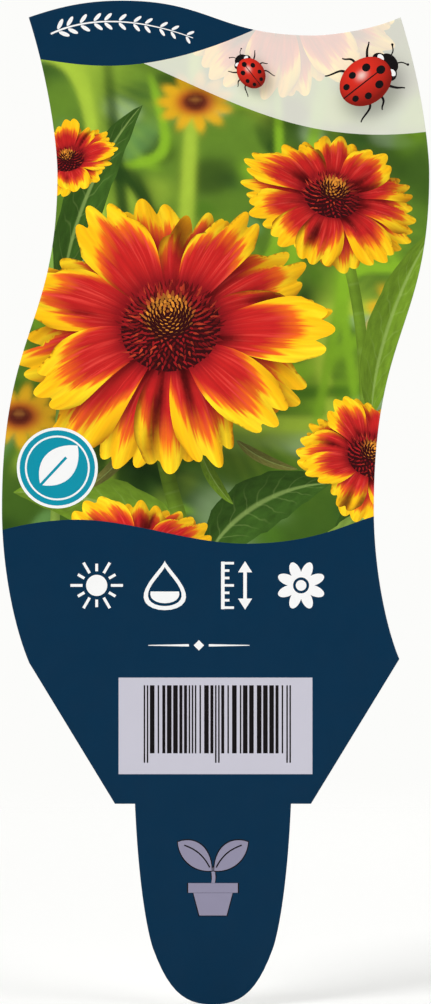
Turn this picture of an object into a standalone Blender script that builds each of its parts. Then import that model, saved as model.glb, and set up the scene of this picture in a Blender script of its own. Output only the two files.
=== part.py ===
"""Stick-in plant label: one die-cut sheet of printed plastic.

The sheet stands upright, printed side towards -Y. Below the soil line (z = 0) a tongue tapers to a
round tip, and two level ledges beside its root stop the label on the soil. Above it the body widens
along two straight flanks, then runs up between two parallel wavy sides to a wavy top edge.
Lengths are in millimetres until the mesh is made, with x across and z up.
"""

import math

import bmesh
import bpy
from mathutils import Vector
from mathutils.geometry import interpolate_bezier

MM = 0.001

# Sheet
SHEET_THICKNESS = 0.5
EDGE_ROLL = 0.12
EDGE_ROLL_STEPS = 3

# Tongue that is pushed into the soil
TONGUE_ROOT_HALF_WIDTH = 13.3
TONGUE_ROOT_HANDLE = (12.65, -15.3)
TONGUE_CALF = (10.2, -24.7)
TONGUE_CALF_HANDLE_ABOVE = (10.9, -22.8)
TONGUE_CALF_HANDLE_BELOW = (7.5, -32.1)
TONGUE_TIP_HANDLE_X = 4.7
TONGUE_LENGTH = 34.2

# Ledges beside the tongue, and the straight flanks above them
LEDGE_WIDTH = 3.4
LEFT_FLANK_TOP = (-31.3, 24.0)
RIGHT_FLANK_TOP = (31.75, 24.65)

# Wavy left side. The right side is the same curve, one body width across.
BODY_WIDTH = 63.35
BELLY = (-35.95, 50.1)
BELLY_HANDLE_DOWN = 9.6
BELLY_HANDLE_UP = 31.0
FOOT_HANDLE = (-34.0, 30.4)
WAIST = (-26.5, 107.4)
WAIST_HANDLE_DOWN = 26.5
WAIST_HANDLE_UP = 4.0
SHOULDER_HANDLE = (-27.75, 122.5)

# Wavy top edge, from the left corner over a crest and through a dip to the right corner
TOP_CORNER = (-31.4, 133.95)
TOP_LEFT_HANDLE = (-27.2, 135.35)
CREST = (-15.5, 136.8)
CREST_HANDLE_LEFT = 7.1
CREST_HANDLE_RIGHT = 15.2
DIP = (17.2, 130.85)
DIP_HANDLE_LEFT = 16.5
DIP_HANDLE_RIGHT = 2.0
TOP_RIGHT_HANDLE = (26.4, 131.5)

# Longest straight step along a curved edge
EDGE_STEP = 1.3
SHARP_ANGLE = math.radians(40)

INK_NAVY = (0.0037, 0.0307, 0.0742, 1.0)
INK_ROUGHNESS = 0.32


def clear_scene():
    for item in list(bpy.data.objects):
        bpy.data.objects.remove(item)


def curved(start, start_handle, end_handle, end):
    """Points of one curved stretch of edge, without its last point."""
    knots = [Vector((x, z)) for x, z in (start, start_handle, end_handle, end)]
    span = (knots[3] - knots[0]).length
    steps = max(4, math.ceil(span / EDGE_STEP))
    return interpolate_bezier(*knots, steps + 1)[:-1]


def shifted(point, across):
    return (point[0] + across, point[1])


def side_edge(flank_top, across):
    """One wavy side from its foot on the flank up to the top corner."""
    belly = shifted(BELLY, across)
    waist = shifted(WAIST, across)
    corner = shifted(TOP_CORNER, across)
    below_belly = (belly[0], belly[1] - BELLY_HANDLE_DOWN)
    above_belly = (belly[0], belly[1] + BELLY_HANDLE_UP)
    below_waist = (waist[0], waist[1] - WAIST_HANDLE_DOWN)
    above_waist = (waist[0], waist[1] + WAIST_HANDLE_UP)
    return [
        *curved(flank_top, shifted(FOOT_HANDLE, across), below_belly, belly),
        *curved(belly, above_belly, below_waist, waist),
        *curved(waist, above_waist, shifted(SHOULDER_HANDLE, across), corner),
    ]


def top_edge():
    """The top edge from the left corner to the right one, without its last point."""
    right_corner = shifted(TOP_CORNER, BODY_WIDTH)
    before_crest = (CREST[0] - CREST_HANDLE_LEFT, CREST[1])
    after_crest = (CREST[0] + CREST_HANDLE_RIGHT, CREST[1])
    before_dip = (DIP[0] - DIP_HANDLE_LEFT, DIP[1])
    after_dip = (DIP[0] + DIP_HANDLE_RIGHT, DIP[1])
    return [
        *curved(TOP_CORNER, TOP_LEFT_HANDLE, before_crest, CREST),
        *curved(CREST, after_crest, before_dip, DIP),
        *curved(DIP, after_dip, TOP_RIGHT_HANDLE, right_corner),
    ]


def tongue_edge():
    """Right half of the tongue, from its root down to the tip, with the tip."""
    root = (TONGUE_ROOT_HALF_WIDTH, 0.0)
    tip = (0.0, -TONGUE_LENGTH)
    before_tip = (TONGUE_TIP_HANDLE_X, -TONGUE_LENGTH)
    return [
        *curved(root, TONGUE_ROOT_HANDLE, TONGUE_CALF_HANDLE_ABOVE, TONGUE_CALF),
        *curved(TONGUE_CALF, TONGUE_CALF_HANDLE_BELOW, before_tip, tip),
        Vector(tip),
    ]


def outline():
    """The whole cut edge, clockwise as the printed side is seen."""
    ledge_end = TONGUE_ROOT_HALF_WIDTH + LEDGE_WIDTH
    right_half = tongue_edge()
    left_half = [Vector((-p.x, p.y)) for p in reversed(right_half[:-1])]
    right_side = list(reversed(side_edge(RIGHT_FLANK_TOP, BODY_WIDTH)))
    return [
        *side_edge(LEFT_FLANK_TOP, 0.0),
        *top_edge(),
        Vector(shifted(TOP_CORNER, BODY_WIDTH)),
        *right_side,
        Vector((ledge_end, 0.0)),
        *right_half,
        *left_half,
        Vector((-ledge_end, 0.0)),
    ]


def sheet_mesh():
    """The sheet as a closed solid, with the cut edge rolled over on the printed side."""
    edge = outline()
    bm = bmesh.new()
    back_y = SHEET_THICKNESS / 2 * MM
    rim = [bm.verts.new((p.x * MM, back_y, p.y * MM)) for p in edge]
    back = bm.faces.new(rim)
    grown = bmesh.ops.extrude_face_region(bm, geom=[back])["geom"]
    front = next(item for item in grown if isinstance(item, bmesh.types.BMFace))
    bmesh.ops.translate(bm, verts=front.verts, vec=(0, -SHEET_THICKNESS * MM, 0))
    bmesh.ops.recalc_face_normals(bm, faces=bm.faces)
    bmesh.ops.bevel(
        bm,
        geom=list(front.edges),
        offset=EDGE_ROLL * MM,
        segments=EDGE_ROLL_STEPS,
        profile=0.5,
        affect="EDGES",
    )
    mesh = bpy.data.meshes.new("plant_label")
    bm.to_mesh(mesh)
    bm.free()
    mesh.shade_smooth()
    mesh.set_sharp_from_angle(angle=SHARP_ANGLE)
    return mesh


def printed_plastic():
    """Navy ink under clear varnish, the colour of most of the printed side."""
    material = bpy.data.materials.new("printed_plastic")
    material.use_nodes = True
    shader = material.node_tree.nodes["Principled BSDF"]
    shader.inputs["Base Color"].default_value = INK_NAVY
    shader.inputs["Roughness"].default_value = INK_ROUGHNESS
    shader.inputs["Metallic"].default_value = 0.0
    material.diffuse_color = INK_NAVY
    return material


def main():
    clear_scene()
    label = bpy.data.objects.new("plant_label", sheet_mesh())
    label.data.materials.append(printed_plastic())
    bpy.context.scene.collection.objects.link(label)


main()
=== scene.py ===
"""Looks of the stick-in plant label: its two printed faces, its white cut edge, and the studio.

The front is one flat surface. Every printed shape, from a panel to a petal, is a cutout with an
outline on the card. The cutouts are laid on each other in painting order and flattened into one
triangulated face, so that each region of the card takes the ink of the topmost cutout there. The
back, which has a sparse print, is made the same way.
The flower picture is drawn the way a painter would work from life: each blossom is modelled as
curved petals round a domed disc, lit and shadowed, and pressed flat onto the card.
Lengths on the card are in millimetres, x to the right and z up from the soil line. Turns are in
degrees, anticlockwise. A share is a part of one.
"""
import logging
import math
from dataclasses import dataclass, field
from enum import Enum

import bmesh
import bpy
import numpy as np
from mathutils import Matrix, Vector
from mathutils.bvhtree import BVHTree
from mathutils.geometry import delaunay_2d_cdt, interpolate_bezier


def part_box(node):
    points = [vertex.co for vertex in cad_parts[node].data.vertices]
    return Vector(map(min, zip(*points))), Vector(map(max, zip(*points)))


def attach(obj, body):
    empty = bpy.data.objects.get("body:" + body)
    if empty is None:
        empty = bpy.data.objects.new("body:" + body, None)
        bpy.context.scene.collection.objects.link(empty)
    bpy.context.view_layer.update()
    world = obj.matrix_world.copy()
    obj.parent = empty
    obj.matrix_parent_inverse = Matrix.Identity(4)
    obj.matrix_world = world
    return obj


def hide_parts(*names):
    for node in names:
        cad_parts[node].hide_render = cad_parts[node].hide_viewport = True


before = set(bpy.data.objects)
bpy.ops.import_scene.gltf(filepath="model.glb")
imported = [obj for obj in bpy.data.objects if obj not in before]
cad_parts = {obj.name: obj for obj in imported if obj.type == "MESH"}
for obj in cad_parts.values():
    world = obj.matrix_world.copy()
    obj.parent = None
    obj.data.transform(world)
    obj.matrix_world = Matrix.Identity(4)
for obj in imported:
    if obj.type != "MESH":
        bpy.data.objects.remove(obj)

log = logging.getLogger("plant_label")

MM = 0.001
NODE = "plant_label"
PIECE = "printed_label"
BODY = "root"

Point = tuple[float, float]
Knots = tuple[Point, Point, Point, Point]
Triple = tuple[float, float, float]
Colour = Triple
Array = np.ndarray
Socket = bpy.types.NodeSocket
Mesh = bmesh.types.BMesh
Face = bmesh.types.BMFace
Ring = list[bmesh.types.BMVert]


def srgb(red: int, green: int, blue: int) -> Colour:
    """Turns an 8-bit display colour into a linear one."""
    shares = np.array([red, green, blue]) / 255
    return tuple(np.where(shares <= 0.04045, shares / 12.92, ((shares + 0.055) / 1.055) ** 2.4).tolist())


BLACK = srgb(0, 0, 0)


class Ink(Enum):
    """What a region of the sheet is covered with. The value is the material's name."""

    NAVY = "navy_ink"
    MEADOW = "meadow_ink"
    PETAL = "petal_ink"
    FLORET = "floret_ink"
    LEAF = "leaf_ink"
    SHELL = "beetle_ink"
    WHITE = "white_ink"
    LILAC = "lilac_panel_ink"
    GREY_LILAC = "grey_lilac_ink"
    BLACK = "black_ink"
    TEAL = "teal_ink"
    CARD = "bare_white_card"


INKS = list(Ink)


# Curves and outlines on the card


def bezier(start: Point, first: Point, second: Point, end: Point, steps: int) -> Array:
    """Samples a cubic curve.

    Args:
        start: First point.
        first: Handle of the first point.
        second: Handle of the last point.
        end: Last point.
        steps: How many straight steps stand for the curve.

    Returns:
        The points, one row each, with both ends.
    """
    knots = [Vector((x, z)) for x, z in (start, first, second, end)]
    return np.array([tuple(p)[:2] for p in interpolate_bezier(*knots, steps + 1)])


def moved(points: Array, centre: Point, turn: float = 0.0) -> Array:
    """Returns points turned about the origin and then shifted to centre."""
    c, s = math.cos(math.radians(turn)), math.sin(math.radians(turn))
    return points @ np.array([[c, s], [-s, c]]) + np.array(centre)


def ellipse(centre: Point, across: float, up: float, turn: float = 0.0, steps: int = 32) -> Array:
    """Returns the outline of an ellipse with half axes across and up."""
    angles = np.linspace(0, 2 * math.pi, steps, endpoint=False)
    return moved(np.column_stack([across * np.cos(angles), up * np.sin(angles)]), centre, turn)


def box(centre: Point, width: float, height: float, turn: float = 0.0) -> Array:
    """Returns the outline of a rectangle."""
    w, h = width / 2, height / 2
    return moved(np.array([[-w, -h], [w, -h], [w, h], [-w, h]]), centre, turn)


def asides(path: Array) -> Array:
    """Returns the unit direction to the left of an open path at each of its points."""
    along = np.gradient(path, axis=0)
    return np.column_stack([-along[:, 1], along[:, 0]]) / np.linalg.norm(along, axis=1, keepdims=True)


def strip(path: Array, half: float | Array) -> Array:
    """Returns the outline of a band that follows path, half as wide on each side."""
    aside = asides(path) * np.reshape(half, (-1, 1))
    return np.vstack([path - aside, (path + aside)[::-1]])


def ribbon(path: Array, half: float | Array, across: Array) -> Array:
    """Returns a grid of points along a path, at shares across of its half width."""
    return path[:, None] + asides(path)[:, None] * (np.reshape(half, (-1, 1)) * across)[..., None]


def refined(outline: Array, step: float) -> Array:
    """Adds points to a closed outline, so that no edge is longer than step.

    Args:
        outline: The outline's points.
        step: The longest edge that is left.

    Returns:
        The outline with the added points.
    """
    made = []
    for start, end in zip(outline, np.roll(outline, -1, axis=0)):
        count = max(1, math.ceil(float(np.linalg.norm(end - start)) / step))
        made.append(start + (end - start) * np.arange(count)[:, None] / count)
    return np.vstack(made)


def spots(centre: Point, size: float, *shares: Point) -> list[Point]:
    """Returns points that are given as shares of a size, measured from centre."""
    return [(centre[0] + size * x, centre[1] + size * z) for x, z in shares]


def away(centre: Point, distance: float, turn: float) -> Point:
    """Returns the point at a distance from centre in the direction of turn."""
    c, s = math.cos(math.radians(turn)), math.sin(math.radians(turn))
    return (centre[0] + c * distance, centre[1] + s * distance)


def heading(way: Array | Point) -> float:
    """Returns the direction of a flat step, in degrees."""
    return math.degrees(math.atan2(way[1], way[0]))


def grain_grid(along: Array, across: Array, light: Array) -> Array:
    """Joins what an ink reads at each point of a grid."""
    return np.stack(np.broadcast_arrays(along, across, light), axis=-1)


@dataclass
class Cutout:
    """One printed shape with its own ink.

    A shape with shading also has a grid of flat points over it. At each of them grain holds how far
    along the shape the point lies, how far across it, and how much light falls there.
    A shape of the flower picture is cut off at the picture's edge.
    """

    ink: Ink
    outline: Array
    pictured: bool = False
    tint: Colour = (1.0, 1.0, 1.0)
    seed: float = 0.0
    grid: Array | None = None
    grain: Array | None = None
    even_grain: Triple = (0.5, 0.0, 1.0)
    thinnest: float = 1e-9

    def ring(self) -> Array:
        """Puts the outline's points in anticlockwise order.

        Returns:
            The outline, or its points the other way round.
        """
        x, z = self.outline[:, 0], self.outline[:, 1]
        area = float(np.sum(x * np.roll(z, -1) - np.roll(x, -1) * z))
        return self.outline if area > 0 else self.outline[::-1]

    def covers(self, points: Array) -> Array:
        """Tells which flat points lie on the shape, also where its outline overlaps itself.

        Args:
            points: Flat points.

        Returns:
            True for each point round which the outline winds.
        """
        low, high = self.outline.min(axis=0), self.outline.max(axis=0)
        near = np.flatnonzero(np.all((points >= low) & (points <= high), axis=1))
        x, z = points[near, 0][:, None], points[near, 1][:, None]
        x1, z1 = self.outline[:, 0], self.outline[:, 1]
        x2, z2 = np.roll(x1, -1), np.roll(z1, -1)
        left = (x2 - x1) * (z - z1) - (x - x1) * (z2 - z1)
        turns = np.sum((z1 <= z) & (z2 > z) & (left > 0), axis=1)
        turns = turns - np.sum((z1 > z) & (z2 <= z) & (left < 0), axis=1)
        covered = np.zeros(len(points), bool)
        covered[near[turns != 0]] = True
        return covered

    def grain_at(self, points: Array) -> Array:
        """Reads the grain at flat points of the shape.

        Args:
            points: Flat points.

        Returns:
            Along, across and light for each point. A shape without a grid is evenly lit.
        """
        if self.grid is None:
            return np.tile(self.even_grain, (len(points), 1))
        rows, cols = self.grid.shape[:2]
        flat = self.grid.reshape(-1, 2)
        grain = self.grain.reshape(-1, 3)
        corner = (np.arange(rows - 1)[:, None] * cols + np.arange(cols - 1)[None, :]).ravel()
        halves = [(corner, corner + 1, corner + cols), (corner + 1, corner + cols + 1, corner + cols)]
        tris = np.vstack([np.column_stack(half) for half in halves])
        tree = BVHTree.FromPolygons([(x, z, 0.0) for x, z in flat], tris.tolist())
        found = np.empty((len(points), 3))
        for row, (x, z) in enumerate(points):
            spot, _, index, _ = tree.find_nearest(Vector((x, z, 0.0)))
            a, b, c = tris[index]
            sides = np.column_stack([flat[b] - flat[a], flat[c] - flat[a]])
            if abs(np.linalg.det(sides)) < self.thinnest:
                found[row] = grain[a]
                continue
            p, q = np.linalg.solve(sides, np.array([spot.x, spot.y]) - flat[a])
            found[row] = grain[a] * (1 - p - q) + grain[b] * p + grain[c] * q
        return found


@dataclass(frozen=True)
class Blur:
    """A soft patch of colour in the unfocused ground of the picture, or of shadow over the print."""

    centre: Point
    across: float
    up: float
    turn: float
    colour: Colour
    strength: float = 1.0
    sharpness: float = 6.5

    def weight(self, points: Array) -> Array:
        """Works out how strongly the patch covers each point, soft at its edge.

        Args:
            points: Flat points.

        Returns:
            A share for each point.
        """
        local = moved(points - np.array(self.centre), (0.0, 0.0), -self.turn)
        far = np.sqrt((local[:, 0] / self.across) ** 2 + (local[:, 1] / self.up) ** 2)
        return self.strength / (1 + np.exp(np.minimum((far - 1) * self.sharpness, 60)))


def blurred_line(path: Array, across: float, up: float, colour: Colour, strength: float,
                 sharpness: float) -> list[Blur]:
    """Lays a chain of soft patches along a path.

    Args:
        path: Points of the path.
        across: Half the length of each patch along the path.
        up: Half its width.
        colour: Its colour.
        strength: How strongly it covers at its middle.
        sharpness: How quickly it fades at its edge.

    Returns:
        A patch for each step of the path.
    """
    made = []
    for start, end in zip(path[:-1], path[1:]):
        middle = tuple(((start + end) / 2).tolist())
        made.append(Blur(middle, across, up, heading(end - start), colour, strength, sharpness))
    return made


# Light that falls on the drawn plants


@dataclass(frozen=True)
class Daylight:
    """Sun from the upper left in front of the card, and open sky all round.

    Attributes:
        sun: Direction of the sun, as across, up and out of the card.
        spread: How far the sun's rays stray, which softens the shadows.
        sky_slopes: How steeply every other sky ray rises from the card.
        hollow: Share of the sky's light that is left where no sky is seen.
        clear: How far in front of a sheet the rays start, and ahead, how much nearer the sun.
    """

    sun: Triple = (-0.34, 0.50, 0.80)
    spread: float = 0.14
    sun_rays: int = 5
    sky_rays: int = 8
    sky_slopes: tuple[float, float] = (0.55, 1.05)
    sky: float = 0.70
    hollow: float = 0.30
    shine: float = 0.66
    clear: float = 0.12
    ahead: float = 0.08

    def towards_sun(self) -> Array:
        """Returns the unit direction of the sun."""
        return np.array(self.sun) / np.linalg.norm(self.sun)

    def on_slope(self, normal: Array) -> Array:
        """Returns the light on open slopes with these normals, about 1 towards the sun."""
        return self.sky + self.shine * np.clip(normal @ self.towards_sun(), 0, 1)

    def on_sheet(self, sheet: Array, shades: BVHTree, seed: int) -> Array:
        """Works out how much light reaches each point of a curved sheet, and evens it out a little.

        Args:
            sheet: Points of the sheet, rows by columns by three.
            shades: Everything that casts shadow.
            seed: Seed of the rays' directions.

        Returns:
            A light value for each point.
        """
        normal = sheet_normals(sheet)
        rng = np.random.default_rng(seed)
        sun = self.towards_sun()
        suns = sun + rng.normal(0, self.spread, (self.sun_rays, 3))
        angles = np.arange(self.sky_rays) * 2 * math.pi / self.sky_rays + rng.uniform(0, 1)
        rise = np.resize(self.sky_slopes, self.sky_rays)
        skies = np.column_stack([np.cos(angles), np.sin(angles), rise])
        value = np.empty(sheet.shape[:2])
        for index in np.ndindex(*sheet.shape[:2]):
            start = Vector(sheet[index] + normal[index] * self.clear + sun * self.ahead)
            sun_share = self.open_share(shades, start, suns)
            sky_share = self.open_share(shades, start, skies)
            facing = max(float(normal[index] @ sun), 0.0)
            sky_light = self.sky * (self.hollow + (1 - self.hollow) * sky_share)
            value[index] = sky_light + self.shine * facing * sun_share
        padded = np.pad(value, 1, mode="edge")
        rows = padded[:-2] + 2 * padded[1:-1] + padded[2:]
        return (rows[:, :-2] + 2 * rows[:, 1:-1] + rows[:, 2:]) / 16

    @staticmethod
    def open_share(shades: BVHTree, start: Vector, ways: Array) -> float:
        """Returns the share of directions in which nothing is in the way."""
        blocked = sum(shades.ray_cast(start, Vector(way))[0] is not None for way in ways)
        return 1 - blocked / len(ways)


DAYLIGHT = Daylight()


def sheet_normals(sheet: Array) -> Array:
    """Works out the unit normals of a curved sheet, on the viewer's side.

    Args:
        sheet: Points of the sheet, rows by columns by three.

    Returns:
        A normal for each point.
    """
    down, over = np.gradient(sheet, axis=0), np.gradient(sheet, axis=1)
    normal = np.cross(over, down)
    normal /= np.maximum(np.linalg.norm(normal, axis=2, keepdims=True), 1e-9)
    return normal * np.where(normal[..., 2:] < 0, -1.0, 1.0)


def shade_tree(sheets: list[Array]) -> BVHTree:
    """Joins curved sheets into one search tree for shadow rays.

    Args:
        sheets: Sheets of points, each rows by columns by three.

    Returns:
        The tree.
    """
    points, faces, first = [], [], 0
    for sheet in sheets:
        rows, cols = sheet.shape[:2]
        points += sheet.reshape(-1, 3).tolist()
        for r in range(rows - 1):
            for c in range(cols - 1):
                a = first + r * cols + c
                faces.append((a, a + 1, a + cols + 1, a + cols))
        first += rows * cols
    return BVHTree.FromPolygons(points, faces)


@dataclass
class Blossom:
    """A two-tone daisy flower: broad three-toothed petals round a bristly dome of florets.

    Attributes:
        lean: How far the face is tipped back from the viewer.
        turn: Which way it is tipped, from straight up.
        disc: Disc radius as a share of the flower's.
        lift: How strongly the petals rise from the disc.
        fullness: Sum of the petals' half widths as a share of the flower's radius.
        waist: Width of a petal's root as a share of its full width.
        side_tooth: How far the outer teeth lie from the middle, as a share of the half width.
        bristles_from: Share of the disc's radius where the buds begin to turn into bristles.
        bristles_in: How much further out they all have.
    """

    centre: Point
    radius: float
    lean: float
    turn: float
    petals: int
    seed: int
    disc: float = 0.31
    lift: float = 0.32
    droop: float = 0.38
    florets: int = 360
    rows: int = 11
    cols: int = 25
    fullness: float = 3.7
    waist: float = 0.26
    shoulder: float = 0.84
    taper: float = 0.16
    side_tooth: float = 0.64
    tooth_width: float = 0.37
    layer_gap: float = 0.055
    furrow: float = 0.075
    ripple: float = 0.07
    dome_edge: float = 0.24
    dome_rise: float = 0.60
    bristles_from: float = 0.38
    bristles_in: float = 0.22
    under: Colour = srgb(58, 10, 14)
    bud: Colour = srgb(212, 134, 40)
    bristle: Colour = srgb(140, 18, 22)
    bright_bristle: Colour = srgb(176, 52, 30)

    def place(self, local: Array) -> Array:
        """Tips points of the flower's own space over and sets them in front of the card.

        Args:
            local: Points as across, up and out of an upright flower.

        Returns:
            The points as x, z and depth in front of the card.
        """
        lean, turn = math.radians(self.lean), math.radians(self.turn)
        x, y, h = local[..., 0], local[..., 1], local[..., 2]
        up = y * math.cos(lean) + h * math.sin(lean)
        depth = h * math.cos(lean) - y * math.sin(lean)
        flat_x = x * math.cos(turn) - up * math.sin(turn) + self.centre[0]
        flat_z = x * math.sin(turn) + up * math.cos(turn) + self.centre[1]
        return np.stack([flat_x, flat_z, depth], axis=-1)

    def tip_line(self, t: Array, rng: np.random.Generator) -> Array:
        """Shapes a petal's tip: three rounded teeth.

        Args:
            t: Places across the petal, from -1 to 1.
            rng: The flower's own random numbers.

        Returns:
            How far the petal reaches at each place, as a share of its length.
        """
        middle = rng.uniform(-0.08, 0.08)
        teeth = np.array([-self.side_tooth, middle, self.side_tooth])
        shorter = np.array([-rng.uniform(0.03, 0.12), 0.0, -rng.uniform(0.03, 0.12)])
        off = np.abs(t[..., None] - teeth) / self.tooth_width
        lobes = shorter + 0.02 - rng.uniform(0.10, 0.17) * np.minimum(off, 1.5) ** 2.2
        return 1 + np.max(lobes, axis=-1)

    def half_width(self, s: Array, half: float) -> Array:
        """Shapes a petal's width.

        Args:
            s: Places along the petal, from 0 to 1.
            half: Half the petal's full width.

        Returns:
            Half its width at each place.
        """
        swell = np.sin(np.minimum(s / self.shoulder, 1) * np.pi / 2) ** 1.15
        past = np.clip((s - self.shoulder) / (1 - self.shoulder), 0, 1)
        return half * (self.waist + (1 - self.waist) * swell) * (1 - self.taper * past**2)

    def petal(self, index: int, rng: np.random.Generator) -> tuple[Array, float]:
        """Shapes one petal.

        Args:
            index: Which petal, counted round the flower.
            rng: The flower's own random numbers.

        Returns:
            The petal's points in front of the card, and how high it lies over the flower's base.
        """
        s = np.linspace(0, 1, self.rows)[:, None]
        t = np.linspace(-1, 1, self.cols)[None, :]
        azimuth = 2 * math.pi * (index + rng.uniform(-0.2, 0.2)) / self.petals
        layer = (index * 2 % 5) / 4 + rng.uniform(-0.2, 0.2)
        reach = self.radius * rng.uniform(0.90, 1.04)
        root = self.radius * self.disc * 0.5
        half = self.radius * self.fullness / self.petals * rng.uniform(0.90, 1.12)
        out = root + (reach * self.tip_line(t, rng) - root) * s
        width = self.half_width(s, half)
        aside = width * t + half * rng.uniform(-0.28, 0.28) * s**2
        lift = self.lift * rng.uniform(0.8, 1.25)
        droop = self.droop * rng.uniform(0.6, 1.35)
        arch = self.radius * (lift * s - droop * s**2 + self.layer_gap * layer)
        cup = rng.uniform(-0.1, 0.3) * width * t**2 * np.sin(np.pi * np.minimum(s + 0.1, 1))
        furrows = self.furrow * width * np.cos(t * np.pi * 3) * np.sin(np.pi * np.minimum(s, 0.9))
        twist = rng.uniform(-0.16, 0.16) * aside * s
        ripples = self.ripple * half * np.sin(s * 6 + rng.uniform(0, 6)) * t
        height = arch + cup + furrows + twist + ripples
        x = out * math.sin(azimuth) + aside * math.cos(azimuth)
        y = out * math.cos(azimuth) - aside * math.sin(azimuth)
        return self.place(np.stack([x, y, height], axis=-1)), float(height.mean())

    def dome(self, r: Array, angle: Array) -> Array:
        """Places points on the disc's dome.

        Args:
            r: Distances from the middle, as shares of the disc's radius.
            angle: Directions from the middle, in radians.

        Returns:
            The points in the flower's own space.
        """
        radius = self.radius * self.disc
        height = radius * (self.dome_edge + self.dome_rise * (1 - r**2.2))
        return np.stack([r * radius * np.sin(angle), r * radius * np.cos(angle), height], axis=-1)

    def dome_sheet(self, grow: float = 1.0) -> Array:
        """Returns the whole dome as one sheet, middle to rim."""
        angle, r = np.meshgrid(np.linspace(0, 2 * np.pi, 33), np.linspace(0.02, grow, 9))
        return self.place(self.dome(r, angle))

    def floret(self, index: int, rng: np.random.Generator) -> tuple[float, Cutout]:
        """Shapes one floret of the dome.

        Args:
            index: Which floret, counted from the middle outwards.
            rng: The flower's own random numbers.

        Returns:
            Its depth, and its cutout: a small bud near the middle, a pointed bristle near the rim.
        """
        golden = math.pi * (3 - math.sqrt(5))
        r = math.sqrt((index + 0.5) / self.florets)
        angle = np.array(index * golden)
        foot = self.dome(np.array(r), angle)
        out = np.array([math.sin(angle), math.cos(angle), 0.0])
        side = np.array([math.cos(angle), -math.sin(angle), 0.0])
        up = np.array([0.0, 0.0, 1.0])
        pitch = self.radius * self.disc * 1.9 / math.sqrt(self.florets)
        rim = min(max((r - self.bristles_from) / self.bristles_in, 0.0), 1.0)
        normal = up + out * 1.3 * r**1.2
        normal /= np.linalg.norm(normal)
        way = out * (0.25 + 0.8 * rim) + up * (1.0 - 0.5 * rim) + side * rng.uniform(-0.5, 0.5) * rim
        way /= np.linalg.norm(way)
        length = pitch * (0.8 + 0.95 * rim) * rng.uniform(0.8, 1.25)
        wide = pitch * (0.43 - 0.13 * rim) * rng.uniform(0.85, 1.1)
        shoulder = 0.66 - 0.3 * rim
        blunt = 0.5 * (1 - rim)
        half = [(-0.25, 0.7), (shoulder * 0.5, 1.0), (shoulder, 0.8), (1.0, blunt)]
        shape = [(a, -wide * b) for a, b in half] + [(1.05, 0.0)] + [(a, wide * b) for a, b in half[::-1]]
        placed = self.place(np.array([foot + way * length * a + side * b for a, b in shape]))
        tipped = self.place(np.array([foot, foot + normal]))
        lit = 0.62 + 0.75 * max(float((tipped[1] - tipped[0]) @ DAYLIGHT.towards_sun()), 0.0)
        bud = np.array(self.bud) * rng.uniform(0.45, 1.2)
        bristle = np.array(self.bristle) * rng.uniform(0.3, 1.35)
        if rim > 0.9 and rng.uniform() < 0.12:
            bristle = np.array(self.bright_bristle) * rng.uniform(0.7, 1.2)
        share = min(max(rim * 1.5 + rng.uniform(-0.25, 0.25), 0.0), 1.0)
        tone = (bud * (1 - share) + bristle * share) * lit
        depth = float(tipped[0][2]) + 0.4 * r
        return depth, Cutout(Ink.FLORET, placed[:, :2], True, tuple(tone), rng.uniform(0, 9))

    def cutouts(self) -> list[Cutout]:
        """Makes the flower's shapes.

        Returns:
            The shapes in painting order: petals, the dome under the florets, florets.
        """
        rng = np.random.default_rng(self.seed)
        petals = [self.petal(index, rng) for index in range(self.petals)]
        dome = self.dome_sheet()
        tree = shade_tree([sheet for sheet, _ in petals] + [self.dome_sheet(1.12)])
        made = []
        across, along = np.meshgrid(np.linspace(-1, 1, self.cols), np.linspace(0, 1, self.rows))
        for order in np.argsort([level for _, level in petals], kind="stable"):
            sheet = petals[order][0]
            light = DAYLIGHT.on_sheet(sheet, tree, self.seed * 100 + int(order))
            edge = np.vstack([sheet[:, 0], sheet[-1, 1:], sheet[-2::-1, -1]])
            seed, grain = float(rng.uniform(0, 200)), grain_grid(along, across, light)
            made.append(Cutout(Ink.PETAL, edge[:, :2], True, seed=seed, grid=sheet[..., :2], grain=grain))
        made.append(Cutout(Ink.FLORET, dome[-1, :-1, :2], True, self.under))
        florets = [self.floret(index, rng) for index in range(self.florets)]
        return made + [cutout for _, cutout in sorted(florets, key=lambda pair: pair[0])]


@dataclass
class Leaf:
    """A pointed leaf with a midrib, side veins and a slightly toothed edge.

    Attributes:
        bend: How far its rib swings to the left, as a share of its length.
        fold: How much darker than the middle one half of it is, and how much lighter the other.
    """

    base: Point
    tip: Point
    half_width: float
    bend: float
    tint: Colour
    seed: int
    teeth: int = 5
    rows: int = 22
    cols: int = 9
    tooth: float = 0.11
    least: float = 0.05
    fold: float = 0.20
    wave: float = 0.07

    def rib(self) -> Array:
        """Works out the leaf's midrib.

        Returns:
            Its points, base to tip.
        """
        base, tip = np.array(self.base), np.array(self.tip)
        way = tip - base
        aside = np.array([-way[1], way[0]]) * self.bend
        return bezier(self.base, base + way * 0.3 + aside, base + way * 0.75 + aside * 0.8, self.tip,
                      self.rows - 1)

    def cutouts(self) -> list[Cutout]:
        """Makes the leaf.

        Returns:
            Its one shape.
        """
        s, t = np.linspace(0, 1, self.rows), np.linspace(-1, 1, self.cols)
        half = self.half_width * np.sin(np.pi * s**0.82) ** 0.85
        jags = (1 - (s * self.teeth) % 1.0) * (s > 0.15) * (s < 0.9)
        half = half * (1 + self.tooth * jags) + self.least
        grid = ribbon(self.rib(), half, t)
        folded = 1.0 - self.fold * np.sign(t) * (1 - 0.35 * np.abs(t))
        light = folded + self.wave * np.sin(s * 9 + self.seed)[:, None] * t
        edge = np.vstack([grid[:, 0], grid[-2:0:-1, -1]])
        grain = grain_grid(s[:, None], t, light)
        return [Cutout(Ink.LEAF, edge, True, self.tint, self.seed * 1.7, grid, grain)]


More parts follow.
